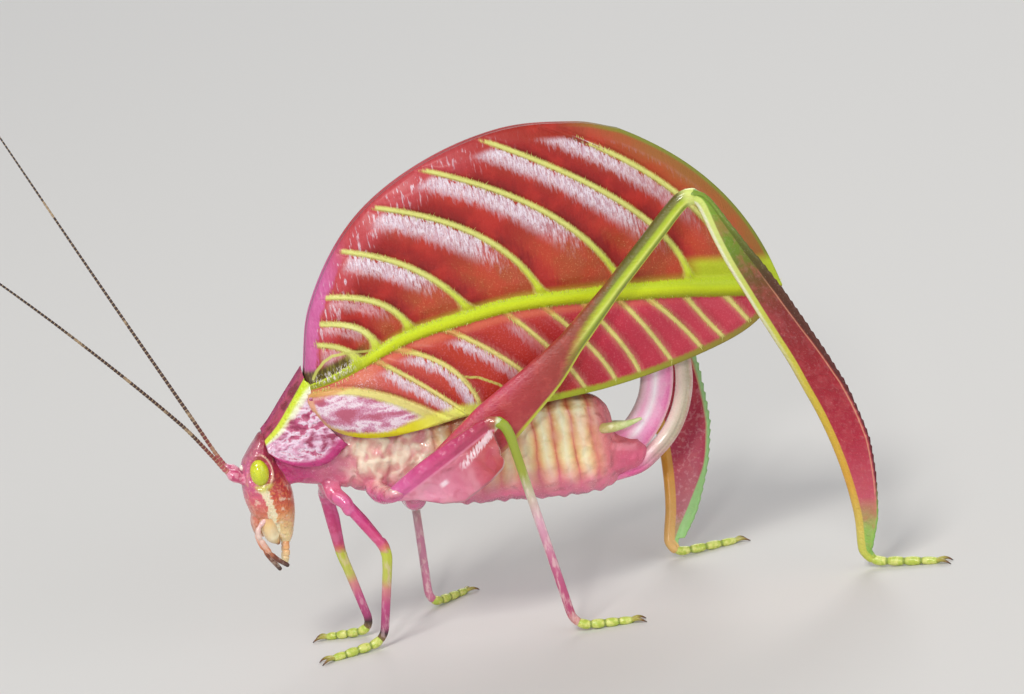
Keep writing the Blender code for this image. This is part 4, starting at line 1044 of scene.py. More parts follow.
# Mouthparts
# Under the face hang a hinged upper lip, two dark-tipped jaws that close sideways behind it, and two
# pairs of jointed palps, the outer pair longer, each swinging from the mouth's edge.
LIP = [
    (10.4, -18.98, -18.0, 0.8), (9.9, -19.1, -18.2, 0.86), (9.4, -19.04, -18.3, 0.8),
    (8.95, -18.9, -18.35, 0.6), (8.75, -18.75, -18.42, 0.32),
]
JAW = [(-17.9, -0.72, 10.4), (-17.98, -0.74, 9.5), (-17.86, -0.62, 8.75), (-17.6, -0.4, 8.2)]
LONG_PALPS = {
    "left": [
        (-18.1, -1.1, 10.1), (-18.75, -1.28, 9.5), (-18.62, -1.2, 8.6), (-18.05, -1.08, 7.45),
        (-17.3, -0.95, 6.7),
    ],
    "right": [
        (-18.1, 1.1, 10.1), (-18.75, 1.3, 9.5), (-18.75, 1.25, 8.3), (-18.35, 1.12, 7.1),
        (-17.75, 0.95, 6.05),
    ],
}
SHORT_PALP = [(-17.1, -0.45, 8.1), (-17.2, -0.52, 7.4), (-17.38, -0.45, 6.75)]

paint = Paint("mouthparts", coat=0.6, coat_roughness=0.15, subsurface=0.08)
along, grain = paint.mark("along"), paint.noise(7.0, 3.0, 0.6)
cloud = paint.noise(2.2, 3.0)
kind = paint.mark("kind")
palp = paint.ramp(
    along, (0.0, 232, 176, 176), (0.35, 238, 204, 192), (0.6, 214, 132, 90), (0.74, 120, 58, 32),
    (1.0, 66, 36, 24),
)
jaw = paint.ramp(
    along, (0.0, 214, 130, 84), (0.3, 236, 200, 140), (0.7, 246, 232, 190), (0.9, 224, 190, 130),
    (1.0, 150, 90, 50),
)
lip = paint.ramp(along, (0.0, 214, 120, 106), (0.5, 206, 128, 96), (1.0, 222, 176, 140))
colour = paint.mix(paint.rise(kind, 0.4, 0.6), lip, jaw)
colour = paint.over(colour, palp, (kind, 1.4, 1.6))
colour = paint.over(colour, paint.mix(along, (222, 150, 90), (244, 228, 176)), (kind, 2.4, 2.6))
colour = paint.over(colour, (250, 232, 210), (cloud, 0.5, 0.7), 0.3)
paint.bump((cloud, 0.08), (grain, 0.02))
mouth_skin = paint.done(colour, paint.scaled(grain, 0.25, 0.24))

turns = round_turns(40)
rings = []
for z, front, back, half in smooth_line(LIP, 24):
    x = (front + back) / 2 + np.cos(turns) * (front - back) / 2
    rings.append(np.stack([x, np.sin(turns) * half, z - 0.1 * np.cos(2 * turns)], 1))
points, faces = loft(rings)
values = {"along": np.repeat(np.linspace(0, 1, len(rings)), len(turns)), "kind": np.zeros(len(points))}
hand_over(add_piece("upper_lip", points, faces, mouth_skin, values), "mouthparts", "labrum")


def jointed(radius, joints):
    """Radius along a jointed tube: narrow at each joint, swollen between."""
    table = []
    for share in np.linspace(0, 1, 80):
        pinch = max(hump(share, joint, 0.03) for joint in joints)
        swell = 1 + 0.1 * math.sin(math.pi * min(1, share * 1.05))
        table.append((share, radius * swell * (1 - 0.35 * pinch) * (1 - 0.15 * share**3)))
    return table


def flipped(path, side):
    return [(x, y * side, z) for x, y, z in path]


MOUTH_TUBES = (
    ("jaw", "mandible", {}, [(0, 0.6), (0.4, 0.6), (0.75, 0.46), (1, 0.16)], 1.0),
    ("long_palp", "palp_maxillary", LONG_PALPS, jointed(0.17, (0.16, 0.38, 0.66)), 2.0),
    ("short_palp", "palp_labial", {}, jointed(0.22, (0.34, 0.64)), 3.0),
)
MIRRORED_PATHS = {"jaw": JAW, "short_palp": SHORT_PALP}
for name, side in (("left", 1), ("right", -1)):
    for piece_name, node, paths, radii, kind_value in MOUTH_TUBES:
        path = paths[name] if paths else flipped(MIRRORED_PATHS[piece_name], side)
        points, faces, values = tube(smooth_line(path, 70), round_ring(radii), DOWN)
        values["kind"] = np.full(len(points), kind_value)
        piece = add_piece(piece_name + "_" + name, points, faces, mouth_skin, values)
        hand_over(piece, "mouthparts", node + "_" + name)

# Feelers
# Two long thread-like feelers of very many short joints. Each swings from a stout pink root joint in
# a socket beside the crown, then tapers to a fine tip.
SCAPE = [(-18.95, -0.55, 12.85), (-19.42, -0.65, 13.15), (-19.88, -0.8, 13.58)]
FEELERS = {
    "left": [
        (-19.85, -0.79, 13.55), (-20.1, -0.9, 13.85), (-22.4, -2.0, 17.7), (-28.5, -4.4, 25.7),
        (-35.0, -6.8, 33.4),
    ],
    "right": [
        (-19.85, 0.79, 13.55), (-20.1, 0.9, 13.85), (-21.6, 1.3, 17.4), (-26.0, 3.0, 27.7),
        (-30.3, 4.6, 38.0),
    ],
}
SCAPE_RADII = [(0, 0.42), (0.25, 0.34), (0.5, 0.42), (0.8, 0.4), (1, 0.24)]
FEELER_RADIUS = 0.14
FEELER_JOINTS, JOINT_ROWS = 92, 4

paint = Paint("feeler", coat=0.3, coat_roughness=0.2)
along, grain = paint.mark("along"), paint.noise(9.0, 3.0)
joint = paint.beat(paint.times(along, float(FEELER_JOINTS)))
colour = paint.ramp(along, (0.0, 206, 96, 110), (0.05, 150, 66, 56), (0.14, 70, 42, 32), (1.0, 48, 34, 28))
colour = paint.over(colour, (206, 178, 140), (joint, 0.36, 0.46), 0.7)
pale = paint.rise(paint.noise(0.55, 2.0), 0.58, 0.66)
colour = paint.over(colour, (196, 168, 130), pale, 0.6)
paint.bump((grain, 0.02))
feeler_skin = paint.done(colour, paint.scaled(grain, 0.2, 0.35))
paint = Paint("feeler_root", coat=0.6, coat_roughness=0.12, subsurface=0.1)
grain, cloud = paint.noise(8.0, 3.0), paint.noise(2.0, 3.0)
paint.bump((cloud, 0.06), (grain, 0.02))
root_skin = paint.done(paint.mix(paint.rise(cloud, 0.4, 0.6), (200, 70, 116), (236, 160, 180)), 0.3)
for name, side in (("left", 1), ("right", -1)):
    points, faces, values = tube(smooth_line(flipped(SCAPE, side), 30), round_ring(SCAPE_RADII), DOWN)
    hand_over(add_piece("feeler_root_" + name, points, faces, root_skin, values), "head", "scape_" + name)
    table = []
    rows = FEELER_JOINTS * JOINT_ROWS
    for i in range(rows + 1):
        share = i / rows
        bead = 1 - 0.16 * (i % JOINT_ROWS == 0)
        base = 1 + 0.5 * max(0, 1 - share / 0.05)
        table.append((share, FEELER_RADIUS * bead * (1 - 0.62 * share) * base))
    points, faces, values = tube(smooth_line(FEELERS[name], rows + 1), round_ring(table, 10), DOWN)
    hand_over(add_piece("feeler_" + name, points, faces, feeler_skin, values), "feeler", "antenna_" + name)

# Legs
# Six jointed legs of stiff cuticle tubes. The middle and hind thighs and the hind shins carry thin,
# leaf-like blades along one edge, finely toothed at the rim. Each limb is hinged at hip, knee and
# ankle, and stands on a beaded foot of four short joints with two claws.
# Each leg's hip, knee, ankle and toe
LEGS = {
    "front_left": [(-12.85, -1.65, 10.2), (-10.9, -2.3, 6.6), (-12.2, -1.8, 0.7), (-15.6, -2.3, 0.2)],
    "front_right": [(-13.85, 1.6, 10.25), (-13.5, 2.2, 6.0), (-12.7, 1.6, 0.7), (-15.5, 2.7, 0.2)],
    "mid_left": [(-9.95, -4.2, 10.7), (-2.58, -6.1, 14.5), (0.1, -7.3, 0.7), (3.6, -7.9, 0.2)],
    "mid_right": [(-9.95, 3.8, 10.6), (-7.3, 9.6, 13.4), (-7.8, 4.6, 0.7), (-5.2, 6.4, 0.2)],
    "hind_left": [(-8.5, -3.5, 10.3), (12.27, -6.2, 26.45), (20.0, -7.4, 0.7), (23.9, -9.5, 0.2)],
    "hind_right": [(-8.5, 3.4, 10.3), (7.9, 13.0, 26.3), (9.3, 4.0, 0.7), (13.8, 4.5, 0.2)],
}
HIND_THIGH_SAG = [(0.0, 0.0), (0.45, 1.0), (0.7, 0.6), (1.0, 0.0)]
HIND_SHIN_BOW = [
    (0.0, 0.0), (0.12, 0.0), (0.3, 0.5), (0.46, 1.0), (0.63, 1.3), (0.72, 1.3), (0.8, 1.15), (0.9, 0.8),
    (1.0, 0.0),
]
STRAIGHT = [(0.0, 0.0), (1.0, 0.0)]
THIGH_KEEL = np.array((0.6, 0.0, -0.8))
PLAIN_SHIN_KEEL, SHIN_BOW_WAY = np.array((1.0, 0.0, 0.0)), np.array((1.0, 0.0, 0.3))
SHIN_KEELS = {"left": np.array((0.55, -0.8, 0.3)), "right": np.array((1.0, -0.1, 0.3))}
CORNER_REACH = {
    "front_left": 0.7, "front_right": 0.7, "mid_left": 1.6, "mid_right": 2.6, "hind_left": 1.6,
    "hind_right": 3.2,
}
ANKLE_REACH = 0.9
BLADE = 0.16
# Reach from the middle line along the limb: on the plain side, on the blade's side, and aside
FRONT_THIGH = (
    [(0, 0.42), (0.5, 0.4), (1, 0.34)], [(0, 0.46), (0.4, 0.56), (1, 0.36)], [(0, 0.36), (1, 0.31)],
)
FRONT_SHIN = ([(0, 0.36), (0.2, 0.28), (1, 0.27)], [(0, 0.36), (0.3, 0.36), (1, 0.27)], [(0, 0.3), (1, 0.26)])
MID_THIGH = (
    [(0, 0.45), (0.3, 0.6), (0.6, 0.55), (0.8, 0.4), (1, 0.34)],
    [(0, 0.5), (0.13, 1.3), (0.26, 2.5), (0.4, 3.25), (0.66, 3.25), (0.79, 3.05), (0.92, 1.7), (1, 0.4)],
    [(0, 0.42), (0.5, 0.4), (1, 0.33)],
)
FOLDED_THIGH = (
    MID_THIGH[0],
    [(0, 0.6), (0.12, 1.7), (0.25, 2.4), (0.45, 2.6), (0.62, 1.6), (0.76, 0.6), (0.88, 0.38), (1, 0.34)],
    MID_THIGH[2],
)
MID_SHIN = ([(0, 0.38), (0.15, 0.3), (1, 0.28)], [(0, 0.36), (0.15, 0.3), (1, 0.28)], [(0, 0.32), (1, 0.27)])
HIND_THIGH = (
    [(0, 0.5), (0.1, 1.15), (0.26, 1.38), (0.44, 1.1), (0.53, 0.7), (0.7, 0.52), (0.9, 0.56), (1, 0.5)],
    [(0, 0.6), (0.1, 1.6), (0.2, 2.0), (0.26, 2.05), (0.35, 1.72), (0.53, 1.05), (0.7, 0.68), (1, 0.6)],
    [(0, 0.45), (0.2, 0.6), (0.5, 0.48), (0.7, 0.42), (1, 0.44)],
)
HIND_SHIN_LOBES = {
    "left": [
        (0, 0.5), (0.04, 0.9), (0.12, 1.7), (0.21, 2.35), (0.3, 2.7), (0.46, 2.95), (0.55, 3.15),
        (0.7, 2.9), (0.8, 2.25), (0.89, 1.6), (0.97, 0.8), (1, 0.4),
    ],
    "right": [
        (0, 0.5), (0.05, 0.9), (0.15, 2.0), (0.3, 3.0), (0.46, 3.65), (0.56, 3.85), (0.7, 3.55),
        (0.8, 2.85), (0.89, 2.0), (0.97, 1.1), (1, 0.4),
    ],
}
HIND_SHIN = ([(0, 0.5), (0.08, 0.42), (1, 0.34)], HIND_SHIN_LOBES["left"], [(0, 0.44), (0.1, 0.4), (1, 0.32)])
FOOT_RADIUS = 0.3
FOOT_BEADS = 4
# Each claw's points: along the foot, aside and up from the toe
CLAW = [(-0.2, 0.0, 0.0), (0.3, 0.24, 0.1), (0.6, 0.38, 0.04), (0.85, 0.4, -0.1)]
CLAW_RADII = [(0, 0.15), (0.5, 0.12), (1, 0.03)]
TOOTH_COUNT, TOOTH_DEPTH = 46, 0.04


def lobed_ring(reaches, teeth=0.0):
    """Ring of a round shaft with a thin blade on its keel side wherever the keel side reaches further."""
    up, down, aside = reaches
    turns = np.linspace(-0.72 * np.pi, 0.72 * np.pi, 26)

    def ring(share):
        wide, high, deep = read(aside, share), read(up, share), read(down, share)
        if teeth and deep > wide * 1.6:
            deep *= 1 - teeth * ((share * TOOTH_COUNT) % 1.0)
        drop = -np.cos(turns) * np.where(np.cos(turns) > 0, high, wide)
        out = np.sin(turns) * wide
        corner_drop, corner_out = drop[-1], out[-1]
        spread = np.linspace(0, 1, 14)[1:-1]
        deep = max(deep, corner_drop + 0.05)
        blade_drop = corner_drop + (deep - corner_drop) * spread**0.9
        thin = min(BLADE, wide * 0.7)
        round_off = np.sqrt(np.clip(1 - spread**10, 0, 1))
        blade_out = (thin + (corner_out - thin) * (1 - spread) ** 5) * round_off
        if deep < wide * 1.25:
            blade_out = corner_out * np.sqrt(np.clip(1 - spread**2, 0, 1))
        right = np.stack([blade_drop, blade_out], 1)
        left = np.stack([blade_drop[::-1], -blade_out[::-1]], 1)
        line = np.vstack([np.stack([drop, out], 1), right, [[deep, 0.0]], left])
        return line[:, 0], line[:, 1]

    return ring


def flat_ring(reaches):
    """Ring of a compressed, club-like limb with a sharp keel."""
    up, down, aside = reaches
    turns = round_turns(52, 0.5)

    def ring(share):
        reach = np.where(np.cos(turns) > 0, read(down, share), read(up, share))
        drop = np.cos(turns) * reach
        keeled = 1 - 0.35 * np.clip(np.cos(turns), 0, 1) ** 3 * min(1, read(down, share) / 1.2)
        return drop, blunt(np.sin(turns), 0.85) * read(aside, share) * keeled

    return ring


def corner(before, joint, after, reach):
    """Rounded corner at a joint: the points into it and the points out of it."""
    into, out = unit(joint - before), unit(after - joint)
    peak = joint - (out - into) * reach / 4
    first, last = peak - into * reach, peak + out * reach
    early = first * 0.5625 + peak * 0.375 + last * 0.0625
    late = first * 0.0625 + peak * 0.375 + last * 0.5625
    return [first, early, joint], [joint, late, last]


def limb_line(inward, outward, sag, sag_way, count):
    """Smooth line between two joints that sags as the table says."""
    start, end = inward[-1], outward[0]
    middle = []
    for part in np.linspace(0, 1, 14)[1:-1]:
        middle.append(start + (end - start) * part + sag_way * np.interp(part, *zip(*sag)))
    return smooth_line(inward + middle + outward, count)


# Thigh skins
paint = Paint("hind_thigh", coat=0.6, coat_roughness=0.12, subsurface=0.1)
along, drop = paint.mark("along"), paint.mark("share")
grain, cloud = paint.noise(8.0, 3.0, 0.6), paint.noise(1.0, 3.0, 0.6)
streak = paint.noise((2.2, 2.2, 9.0), 3.0, 0.6)
# Pink root, red club, then a green shaft: olive above, with a bright yellow-green ridge below and a painted
# highlight line along it
club = paint.ramp(
    along, (0.0, 206, 78, 136), (0.1, 200, 66, 110), (0.2, 188, 50, 66), (0.36, 170, 40, 44),
    (0.52, 150, 52, 36), (0.66, 128, 76, 30),
)
club = paint.over(club, (206, 70, 110), (drop, -0.1, -0.9), (along, 0.5, 0.3), 0.5)
club = paint.over(club, (206, 84, 76), (cloud, 0.45, 0.65), 0.35)
shaft_and_highlight = paint.ramp(
    paint.rise(drop, -1.0, 1.0), (0.0, 92, 86, 6), (0.26, 116, 118, 8), (0.4, 158, 178, 10),
    (0.62, 190, 208, 36), (0.78, 222, 234, 110), (0.9, 150, 170, 30), (1.0, 104, 112, 20),
)
start = paint.scaled(drop, 0.14, along)
colour = paint.mix(paint.rise(paint.scaled(streak, 0.08, start), 0.56, 0.72), club, shaft_and_highlight)
keel = paint.times((drop, 0.8, 0.92), (along, 0.2, 0.34))
colour = paint.over(colour, (206, 214, 44), keel)
colour = paint.over(colour, (214, 226, 120), (along, 0.965, 0.99))
paint.bump((cloud, 0.1), (streak, 0.05), (grain, 0.02))
hind_thigh = paint.done(colour, paint.scaled(grain, 0.25, 0.22))

paint = Paint("mid_thigh", coat=1.0, coat_roughness=0.07, subsurface=0.35, tint=(1.0, 0.4, 0.45))
along, drop, deep = paint.mark("along"), paint.mark("share"), paint.mark("drop")
grain, cloud = paint.noise(8.0, 3.0, 0.6), paint.noise(0.8, 2.0, 0.5, 0.5)
# Folds fan out from the shaft to the rim of the leaf-like flap
folds = paint.noise((0.75, 0.75, 0.4), 1.0, 0.4, 0.3)
flap = paint.ramp(
    along, (0.0, 216, 120, 160), (0.3, 222, 142, 166), (0.52, 210, 104, 134), (0.72, 190, 62, 70),
    (1.0, 180, 56, 50),
)
flap = paint.over(flap, (226, 164, 174), (folds, 0.42, 0.62), 0.4)
flap = paint.over(flap, (190, 66, 100), (cloud, 0.5, 0.66), 0.4)
shaft_colour = paint.ramp(
    along, (0.0, 214, 100, 160), (0.4, 204, 66, 124), (0.9, 176, 46, 76), (1.0, 176, 120, 70),
)
colour = paint.mix(paint.rise(deep, 0.62, 0.42), flap, shaft_colour)
colour = paint.over(colour, (236, 150, 180), (deep, 0.46, 0.6, 0.06), 0.5)
colour = paint.over(colour, (240, 190, 190), (drop, 0.95, 0.985), (along, 0.6, 0.75))
colour = paint.over(colour, (216, 220, 170), (along, 0.97, 1.0))
# Wet gleam that runs beside the shaft, and a second spot near the rim
beside = paint.scaled(along, 1.67, paint.less(deep, 2.24))
combed = paint.noise((7.0, 7.0, 1.5), 2.0, 0.6)
beside = paint.sway(beside, combed, 0.7)
shine = paint.times((beside, -0.2, 0.2, 0.1), (along, 0.56, 0.92, 0.04), (combed, 0.3, 0.5))
low_shine = paint.times((along, 0.34, 0.4, 0.02), (deep, 1.3, 1.6, 0.1))
colour = paint.over(colour, (252, 236, 242), paint.most(shine, low_shine), 0.75)
paint.bump((folds, 0.3), (cloud, 0.3), (grain, 0.02))
mid_thigh = paint.done(colour, paint.scaled(grain, 0.2, 0.14))

paint = Paint("front_thigh", coat=0.5, coat_roughness=0.14, subsurface=0.12)
along, drop = paint.mark("along"), paint.mark("share")
grain, cloud = paint.noise(8.0, 3.0, 0.6), paint.noise(1.5, 3.0, 0.6)
colour = paint.ramp(
    along, (0.0, 206, 84, 142), (0.35, 200, 54, 122), (0.85, 206, 72, 118), (0.94, 206, 120, 80),
    (1.0, 190, 190, 60),
)
colour = paint.over(colour, (226, 132, 176), (cloud, 0.45, 0.65), 0.35)
colour = paint.over(colour, (160, 46, 110), (drop, 0.3, 0.9), 0.4)
paint.bump((cloud, 0.07), (grain, 0.025))
front_thigh = paint.done(colour, paint.scaled(grain, 0.25, 0.28))

# Shin skins
paint = Paint("hind_shin", coat=0.3, coat_roughness=0.2, subsurface=0.1, specular=0.35)
along, drop, deep, far = paint.mark("along"), paint.mark("share"), paint.mark("drop"), paint.mark("far")
grain, cloud, speckle = (
    paint.noise(8.0, 3.0, 0.6), paint.noise(1.1, 3.0, 0.6, 0.3), paint.noise(3.4, 3.0, 0.6),
)
# Round shaft on the front edge
shaft_near = paint.ramp(
    along, (0.0, 206, 222, 110), (0.12, 214, 224, 130), (0.3, 200, 208, 84), (0.55, 206, 186, 60),
    (0.8, 214, 160, 56), (0.93, 206, 190, 90), (1.0, 190, 200, 80),
)
gleam = paint.times((deep, -0.18, 0.1, 0.1), (along, 0.62, 0.2))
shaft_near = paint.over(shaft_near, (246, 250, 214), gleam)
shaft_near = paint.over(shaft_near, (120, 140, 30), (deep, -0.2, -0.36), 0.7)
shaft_far = paint.ramp(
    along, (0.0, 206, 190, 80), (0.5, 214, 176, 70), (0.8, 216, 152, 50), (1.0, 222, 180, 110),
)
shaft_colour = paint.mix(far, shaft_near, shaft_far)
# Thin blade behind it
blade_near = paint.ramp(
    along, (0.0, 130, 170, 50), (0.16, 112, 144, 40), (0.24, 116, 84, 40), (0.34, 142, 44, 44),
    (0.5, 160, 26, 42), (0.7, 180, 34, 62), (0.84, 200, 84, 104), (0.92, 150, 186, 90), (1.0, 130, 190, 70),
)
blade_far = paint.ramp(
    along, (0.0, 110, 60, 40), (0.3, 146, 26, 50), (0.6, 168, 32, 60), (0.78, 184, 56, 84),
    (0.9, 190, 112, 120), (1.0, 160, 210, 110),
)
blade = paint.mix(far, blade_near, blade_far)
blade = paint.over(blade, (200, 84, 90), (cloud, 0.42, 0.66), 0.35)
dust = paint.scaled(paint.times(far, (along, 0.4, 0.8)), 0.3, 0.1)
blade = paint.over(blade, (226, 170, 176), (speckle, 0.5, 0.68), dust)
# The near blade's rim is a dark fringe behind a fine pale line, broad below the knee
fringe = paint.less(drop, paint.scaled(paint.rise(along, 0.2, 0.66), 0.2, 0.72))
line_ends = paint.times((along, 0.2, 0.3), (along, 0.88, 0.8))
near_rim = paint.ramp(
    along, (0.0, 120, 150, 40), (0.16, 90, 96, 30), (0.26, 84, 48, 28), (0.55, 88, 30, 30),
    (0.8, 100, 28, 40), (0.9, 140, 190, 90),
)
blade = paint.over(blade, paint.mix(far, near_rim, blade), (fringe, 0.0, 0.04))
blade = paint.over(blade, (222, 166, 130), (fringe, -0.03, 0.0, 0.015), line_ends, 0.7)
# Pale green rim of the far blade, wider toward the foot
far_edge = paint.scaled(paint.rise(along, 0.76, 1.0), 0.5, drop)
far_edge = paint.times((far_edge, 0.87, 0.93), far, (along, 0.16, 0.3))
blade = paint.over(blade, paint.mix(along, (150, 186, 134), (156, 208, 126)), far_edge)
colour = paint.mix(paint.rise(deep, 0.36, 0.46), shaft_colour, blade)
colour = paint.over(colour, (240, 210, 190), (grain, 0.6, 0.72), 0.15)
paint.bump((cloud, 0.12), (speckle, 0.06), (grain, 0.03))
hind_shin = paint.done(colour, paint.scaled(grain, 0.3, 0.32))

paint = Paint("mid_shin", coat=0.5, coat_roughness=0.13, subsurface=0.1)
along = paint.mark("along")
grain, cloud = paint.noise(8.0, 3.0, 0.6), paint.noise((3.0, 3.0, 1.0), 3.0, 0.6)
colour = paint.ramp(
    along, (0.0, 144, 160, 26), (0.27, 150, 158, 44), (0.36, 196, 186, 160), (0.5, 214, 160, 180),
    (0.72, 190, 90, 130), (0.93, 178, 60, 106), (1.0, 206, 140, 130),
)
far_colour = paint.ramp(
    along, (0.0, 150, 160, 110), (0.45, 196, 186, 176), (0.7, 206, 140, 166), (1.0, 196, 110, 140),
)
colour = paint.over(colour, far_colour, paint.mark("far"))
colour = paint.over(colour, (238, 222, 214), (cloud, 0.46, 0.62), (along, 0.22, 0.36), 0.45)
paint.bump((cloud, 0.06), (grain, 0.025))
mid_shin = paint.done(colour, paint.scaled(grain, 0.25, 0.28))

paint = Paint("front_shin", coat=0.4, coat_roughness=0.15, subsurface=0.1)
along = paint.mark("along")
grain, cloud = paint.noise(8.0, 3.0, 0.6), paint.noise((3.0, 3.0, 1.0), 3.0, 0.6)
colour = paint.ramp(
    along, (0.0, 190, 200, 60), (0.3, 186, 190, 84), (0.42, 206, 130, 130), (0.6, 186, 70, 124),
    (0.86, 158, 52, 106), (0.93, 50, 26, 34), (1.0, 120, 96, 50),
)
colour = paint.over(colour, (232, 196, 200), (cloud, 0.48, 0.64), 0.35)
paint.bump((cloud, 0.05), (grain, 0.025))
front_shin = paint.done(colour, paint.scaled(grain, 0.25, 0.3))

paint = Paint("foot_skin", coat=0.4, coat_roughness=0.15, subsurface=0.1)
along, claw = paint.mark("along"), paint.mark("claw")
grain, cloud = paint.noise(9.0, 3.0, 0.6), paint.noise(3.0, 3.0, 0.6)
bead = paint.beat(paint.times(along, float(FOOT_BEADS)))
colour = paint.mix(paint.rise(cloud, 0.4, 0.62), (178, 196, 70), (214, 218, 120))
colour = paint.over(colour, (132, 150, 50), (bead, 0.36, 0.48))
nail = paint.ramp(along, (0.0, 196, 196, 90), (0.5, 160, 150, 60), (0.8, 110, 70, 30), (1.0, 40, 24, 14))
colour = paint.over(colour, nail, claw)
paint.bump((cloud, 0.06), (grain, 0.025))
foot_skin = paint.done(colour, paint.scaled(grain, 0.25, 0.3))


def limb_piece(name, node, line, ring, reaches, keel, skin, slot, is_far):
    """One part of a leg. Its skin knows how far along, across and toward which side it is."""
    points, faces, values = tube(line, ring, keel)
    up, down, _ = reaches
    reach = np.where(values["drop"] > 0, read(down, values["along"]), read(up, values["along"]))
    values["share"] = values["drop"] / np.maximum(reach, 0.05)
    values["far"] = np.full(len(points), float(is_far))
    hand_over(add_piece(name, points, faces, skin, values), slot, node)


def foot_shapes(out_of_ankle, toe):
    """Beaded foot and two claws."""
    line = smooth_line(out_of_ankle + [toe], 100)
    marks = lengths(line) / lengths(line)[-1]
    table = []
    for share in marks:
        bead = abs(math.sin(math.pi * FOOT_BEADS * share)) ** 0.6
        table.append((share, FOOT_RADIUS * (0.7 + 0.36 * bead) * (1 - 0.25 * share**3)))
    shapes = [tube(line, round_ring(table, 24), DOWN)]
    way = unit(toe - out_of_ankle[-1])
    aside = unit(np.cross(way, DOWN))
    for side in (-1, 1):
        hook = [toe + way * ahead + aside * side * out + (0, 0, up) for ahead, out, up in CLAW]
        shapes.append(tube(smooth_line(hook, 20), round_ring(CLAW_RADII, 12), DOWN))
    for number, shape in enumerate(shapes):
        shape[0][:, 2] = np.maximum(shape[0][:, 2], 0.0)
        shape[2]["claw"] = np.full(len(shape[0]), float(number > 0))
    return join(shapes)


KINDS = {
    "front": (FRONT_THIGH, FRONT_SHIN, front_thigh, front_shin),
    "mid": (MID_THIGH, MID_SHIN, mid_thigh, mid_shin),
    "hind": (HIND_THIGH, HIND_SHIN, hind_thigh, hind_shin),
}
for key, joints in LEGS.items():
    pair, side = key.split("_")
    hip, knee, ankle, toe = [np.array(p) for p in joints]
    thigh, shin, thigh_skin, shin_skin = KINDS[pair]
    if key == "mid_right":
        thigh = FOLDED_THIGH
    hind = pair == "hind"
    into_knee, out_of_knee = corner(hip, knee, ankle, CORNER_REACH[key])
    into_ankle, out_of_ankle = corner(knee, ankle, toe, ANKLE_REACH)
    keel = DOWN if pair == "mid" else THIGH_KEEL
    line = limb_line([hip], into_knee, HIND_THIGH_SAG if hind else STRAIGHT, keel, 150)
    ring = flat_ring(thigh) if hind else lobed_ring(thigh)
    limb_piece("thigh_" + key, "femur_" + key, line, ring, thigh, keel, thigh_skin, "thigh", False)
    keel = PLAIN_SHIN_KEEL
    if hind:
        keel = SHIN_KEELS[side]
        shin = (shin[0], HIND_SHIN_LOBES[side], shin[2])
    line = limb_line(out_of_knee, into_ankle, HIND_SHIN_BOW if hind else STRAIGHT, SHIN_BOW_WAY, 190)
    ring = lobed_ring(shin, TOOTH_DEPTH if hind else 0.0)
    limb_piece("shin_" + key, "tibia_" + key, line, ring, shin, keel, shin_skin, "shin", side == "right")
    points, faces, values = foot_shapes(out_of_ankle, toe)
    hand_over(add_piece("foot_" + key, points, faces, foot_skin, values), "foot", "tarsus_" + key)

# Egg-laying blade and tail feelers
# The female's blade is curled up under the wings: two long curved valves of smooth glossy cuticle,
# pink within and grey-white without, that slide along each other and swing from the tail's end.
# Two short pale tail feelers stand out above its root.
INNER_VALVE = [
    (5.3, 0, 9.75), (6.0, 0, 9.87), (6.6, 0, 10.0), (7.35, 0, 10.45), (8.3, 0, 11.5), (8.95, 0, 12.7),
    (9.3, 0, 14.2), (9.3, 0, 15.6), (9.0, 0, 17.8),
]
INNER_WIDTH = [(0, 1.14), (0.7, 1.12), (0.9, 0.72), (1, 0.25)]
OUTER_VALVE = [
    (5.2, 0, 8.0), (5.85, 0, 8.04), (7.12, 0, 8.21), (8.15, 0, 8.8), (9.4, 0, 9.8), (10.26, 0, 10.97),
    (10.84, 0, 12.33), (11.11, 0, 13.7), (11.06, 0, 15.4), (10.35, 0, 18.0),
]
OUTER_WIDTH = [(0, 0.58), (0.8, 0.57), (1, 0.22)]
VALVE_THICKNESS = [(0, 0.6), (0.6, 0.48), (1, 0.26)]
TAIL_FEELER_RADII = [(0, 0.36), (0.35, 0.34), (1, 0.11)]
TAIL_FEELERS = {
    "left": [(4.7, -1.2, 11.45), (5.4, -1.6, 11.48), (6.4, -1.68, 11.52), (7.4, -1.6, 11.65)],
    "right": [(4.7, 1.2, 11.0), (5.35, 1.65, 10.9), (6.4, 1.75, 10.8), (7.4, 1.6, 10.75)],
}

paint = Paint("egg_blade", coat=0.8, coat_roughness=0.1, subsurface=0.2, tint=(1.0, 0.4, 0.5))
along, share, outside = paint.mark("along"), paint.mark("share"), paint.mark("outside")
grain, cloud = paint.noise(8.0, 3.0, 0.6), paint.noise(0.8, 3.0, 0.6)
# Inner valve pink, with a painted white highlight band along it
inner_colour_and_highlight = paint.ramp(
    share, (0.0, 226, 204, 204), (0.22, 246, 172, 208), (0.42, 255, 238, 246), (0.58, 246, 168, 208),
    (0.85, 232, 118, 176), (1.0, 248, 206, 214),
)
outer_colour = paint.ramp(
    share, (0.0, 246, 224, 214), (0.35, 210, 194, 174), (0.7, 180, 166, 140), (1.0, 212, 160, 150),
)
outer_colour = paint.over(outer_colour, (206, 110, 150), (along, 0.35, 0.1))
colour = paint.mix(outside, inner_colour_and_highlight, outer_colour)
colour = paint.over(colour, (228, 84, 150), (along, 0.24, 0.04))
colour = paint.over(colour, (246, 220, 226), (cloud, 0.45, 0.65), 0.2)
paint.bump((cloud, 0.08), (grain, 0.02))
blade_skin = paint.done(colour, paint.scaled(grain, 0.2, 0.18))
turns = round_turns(44, 0.5)
VALVES = (
    ("inner", "ovipositor_upper", INNER_VALVE, INNER_WIDTH, 0.0),
    ("outer", "ovipositor_lower", OUTER_VALVE, OUTER_WIDTH, 1.0),
)
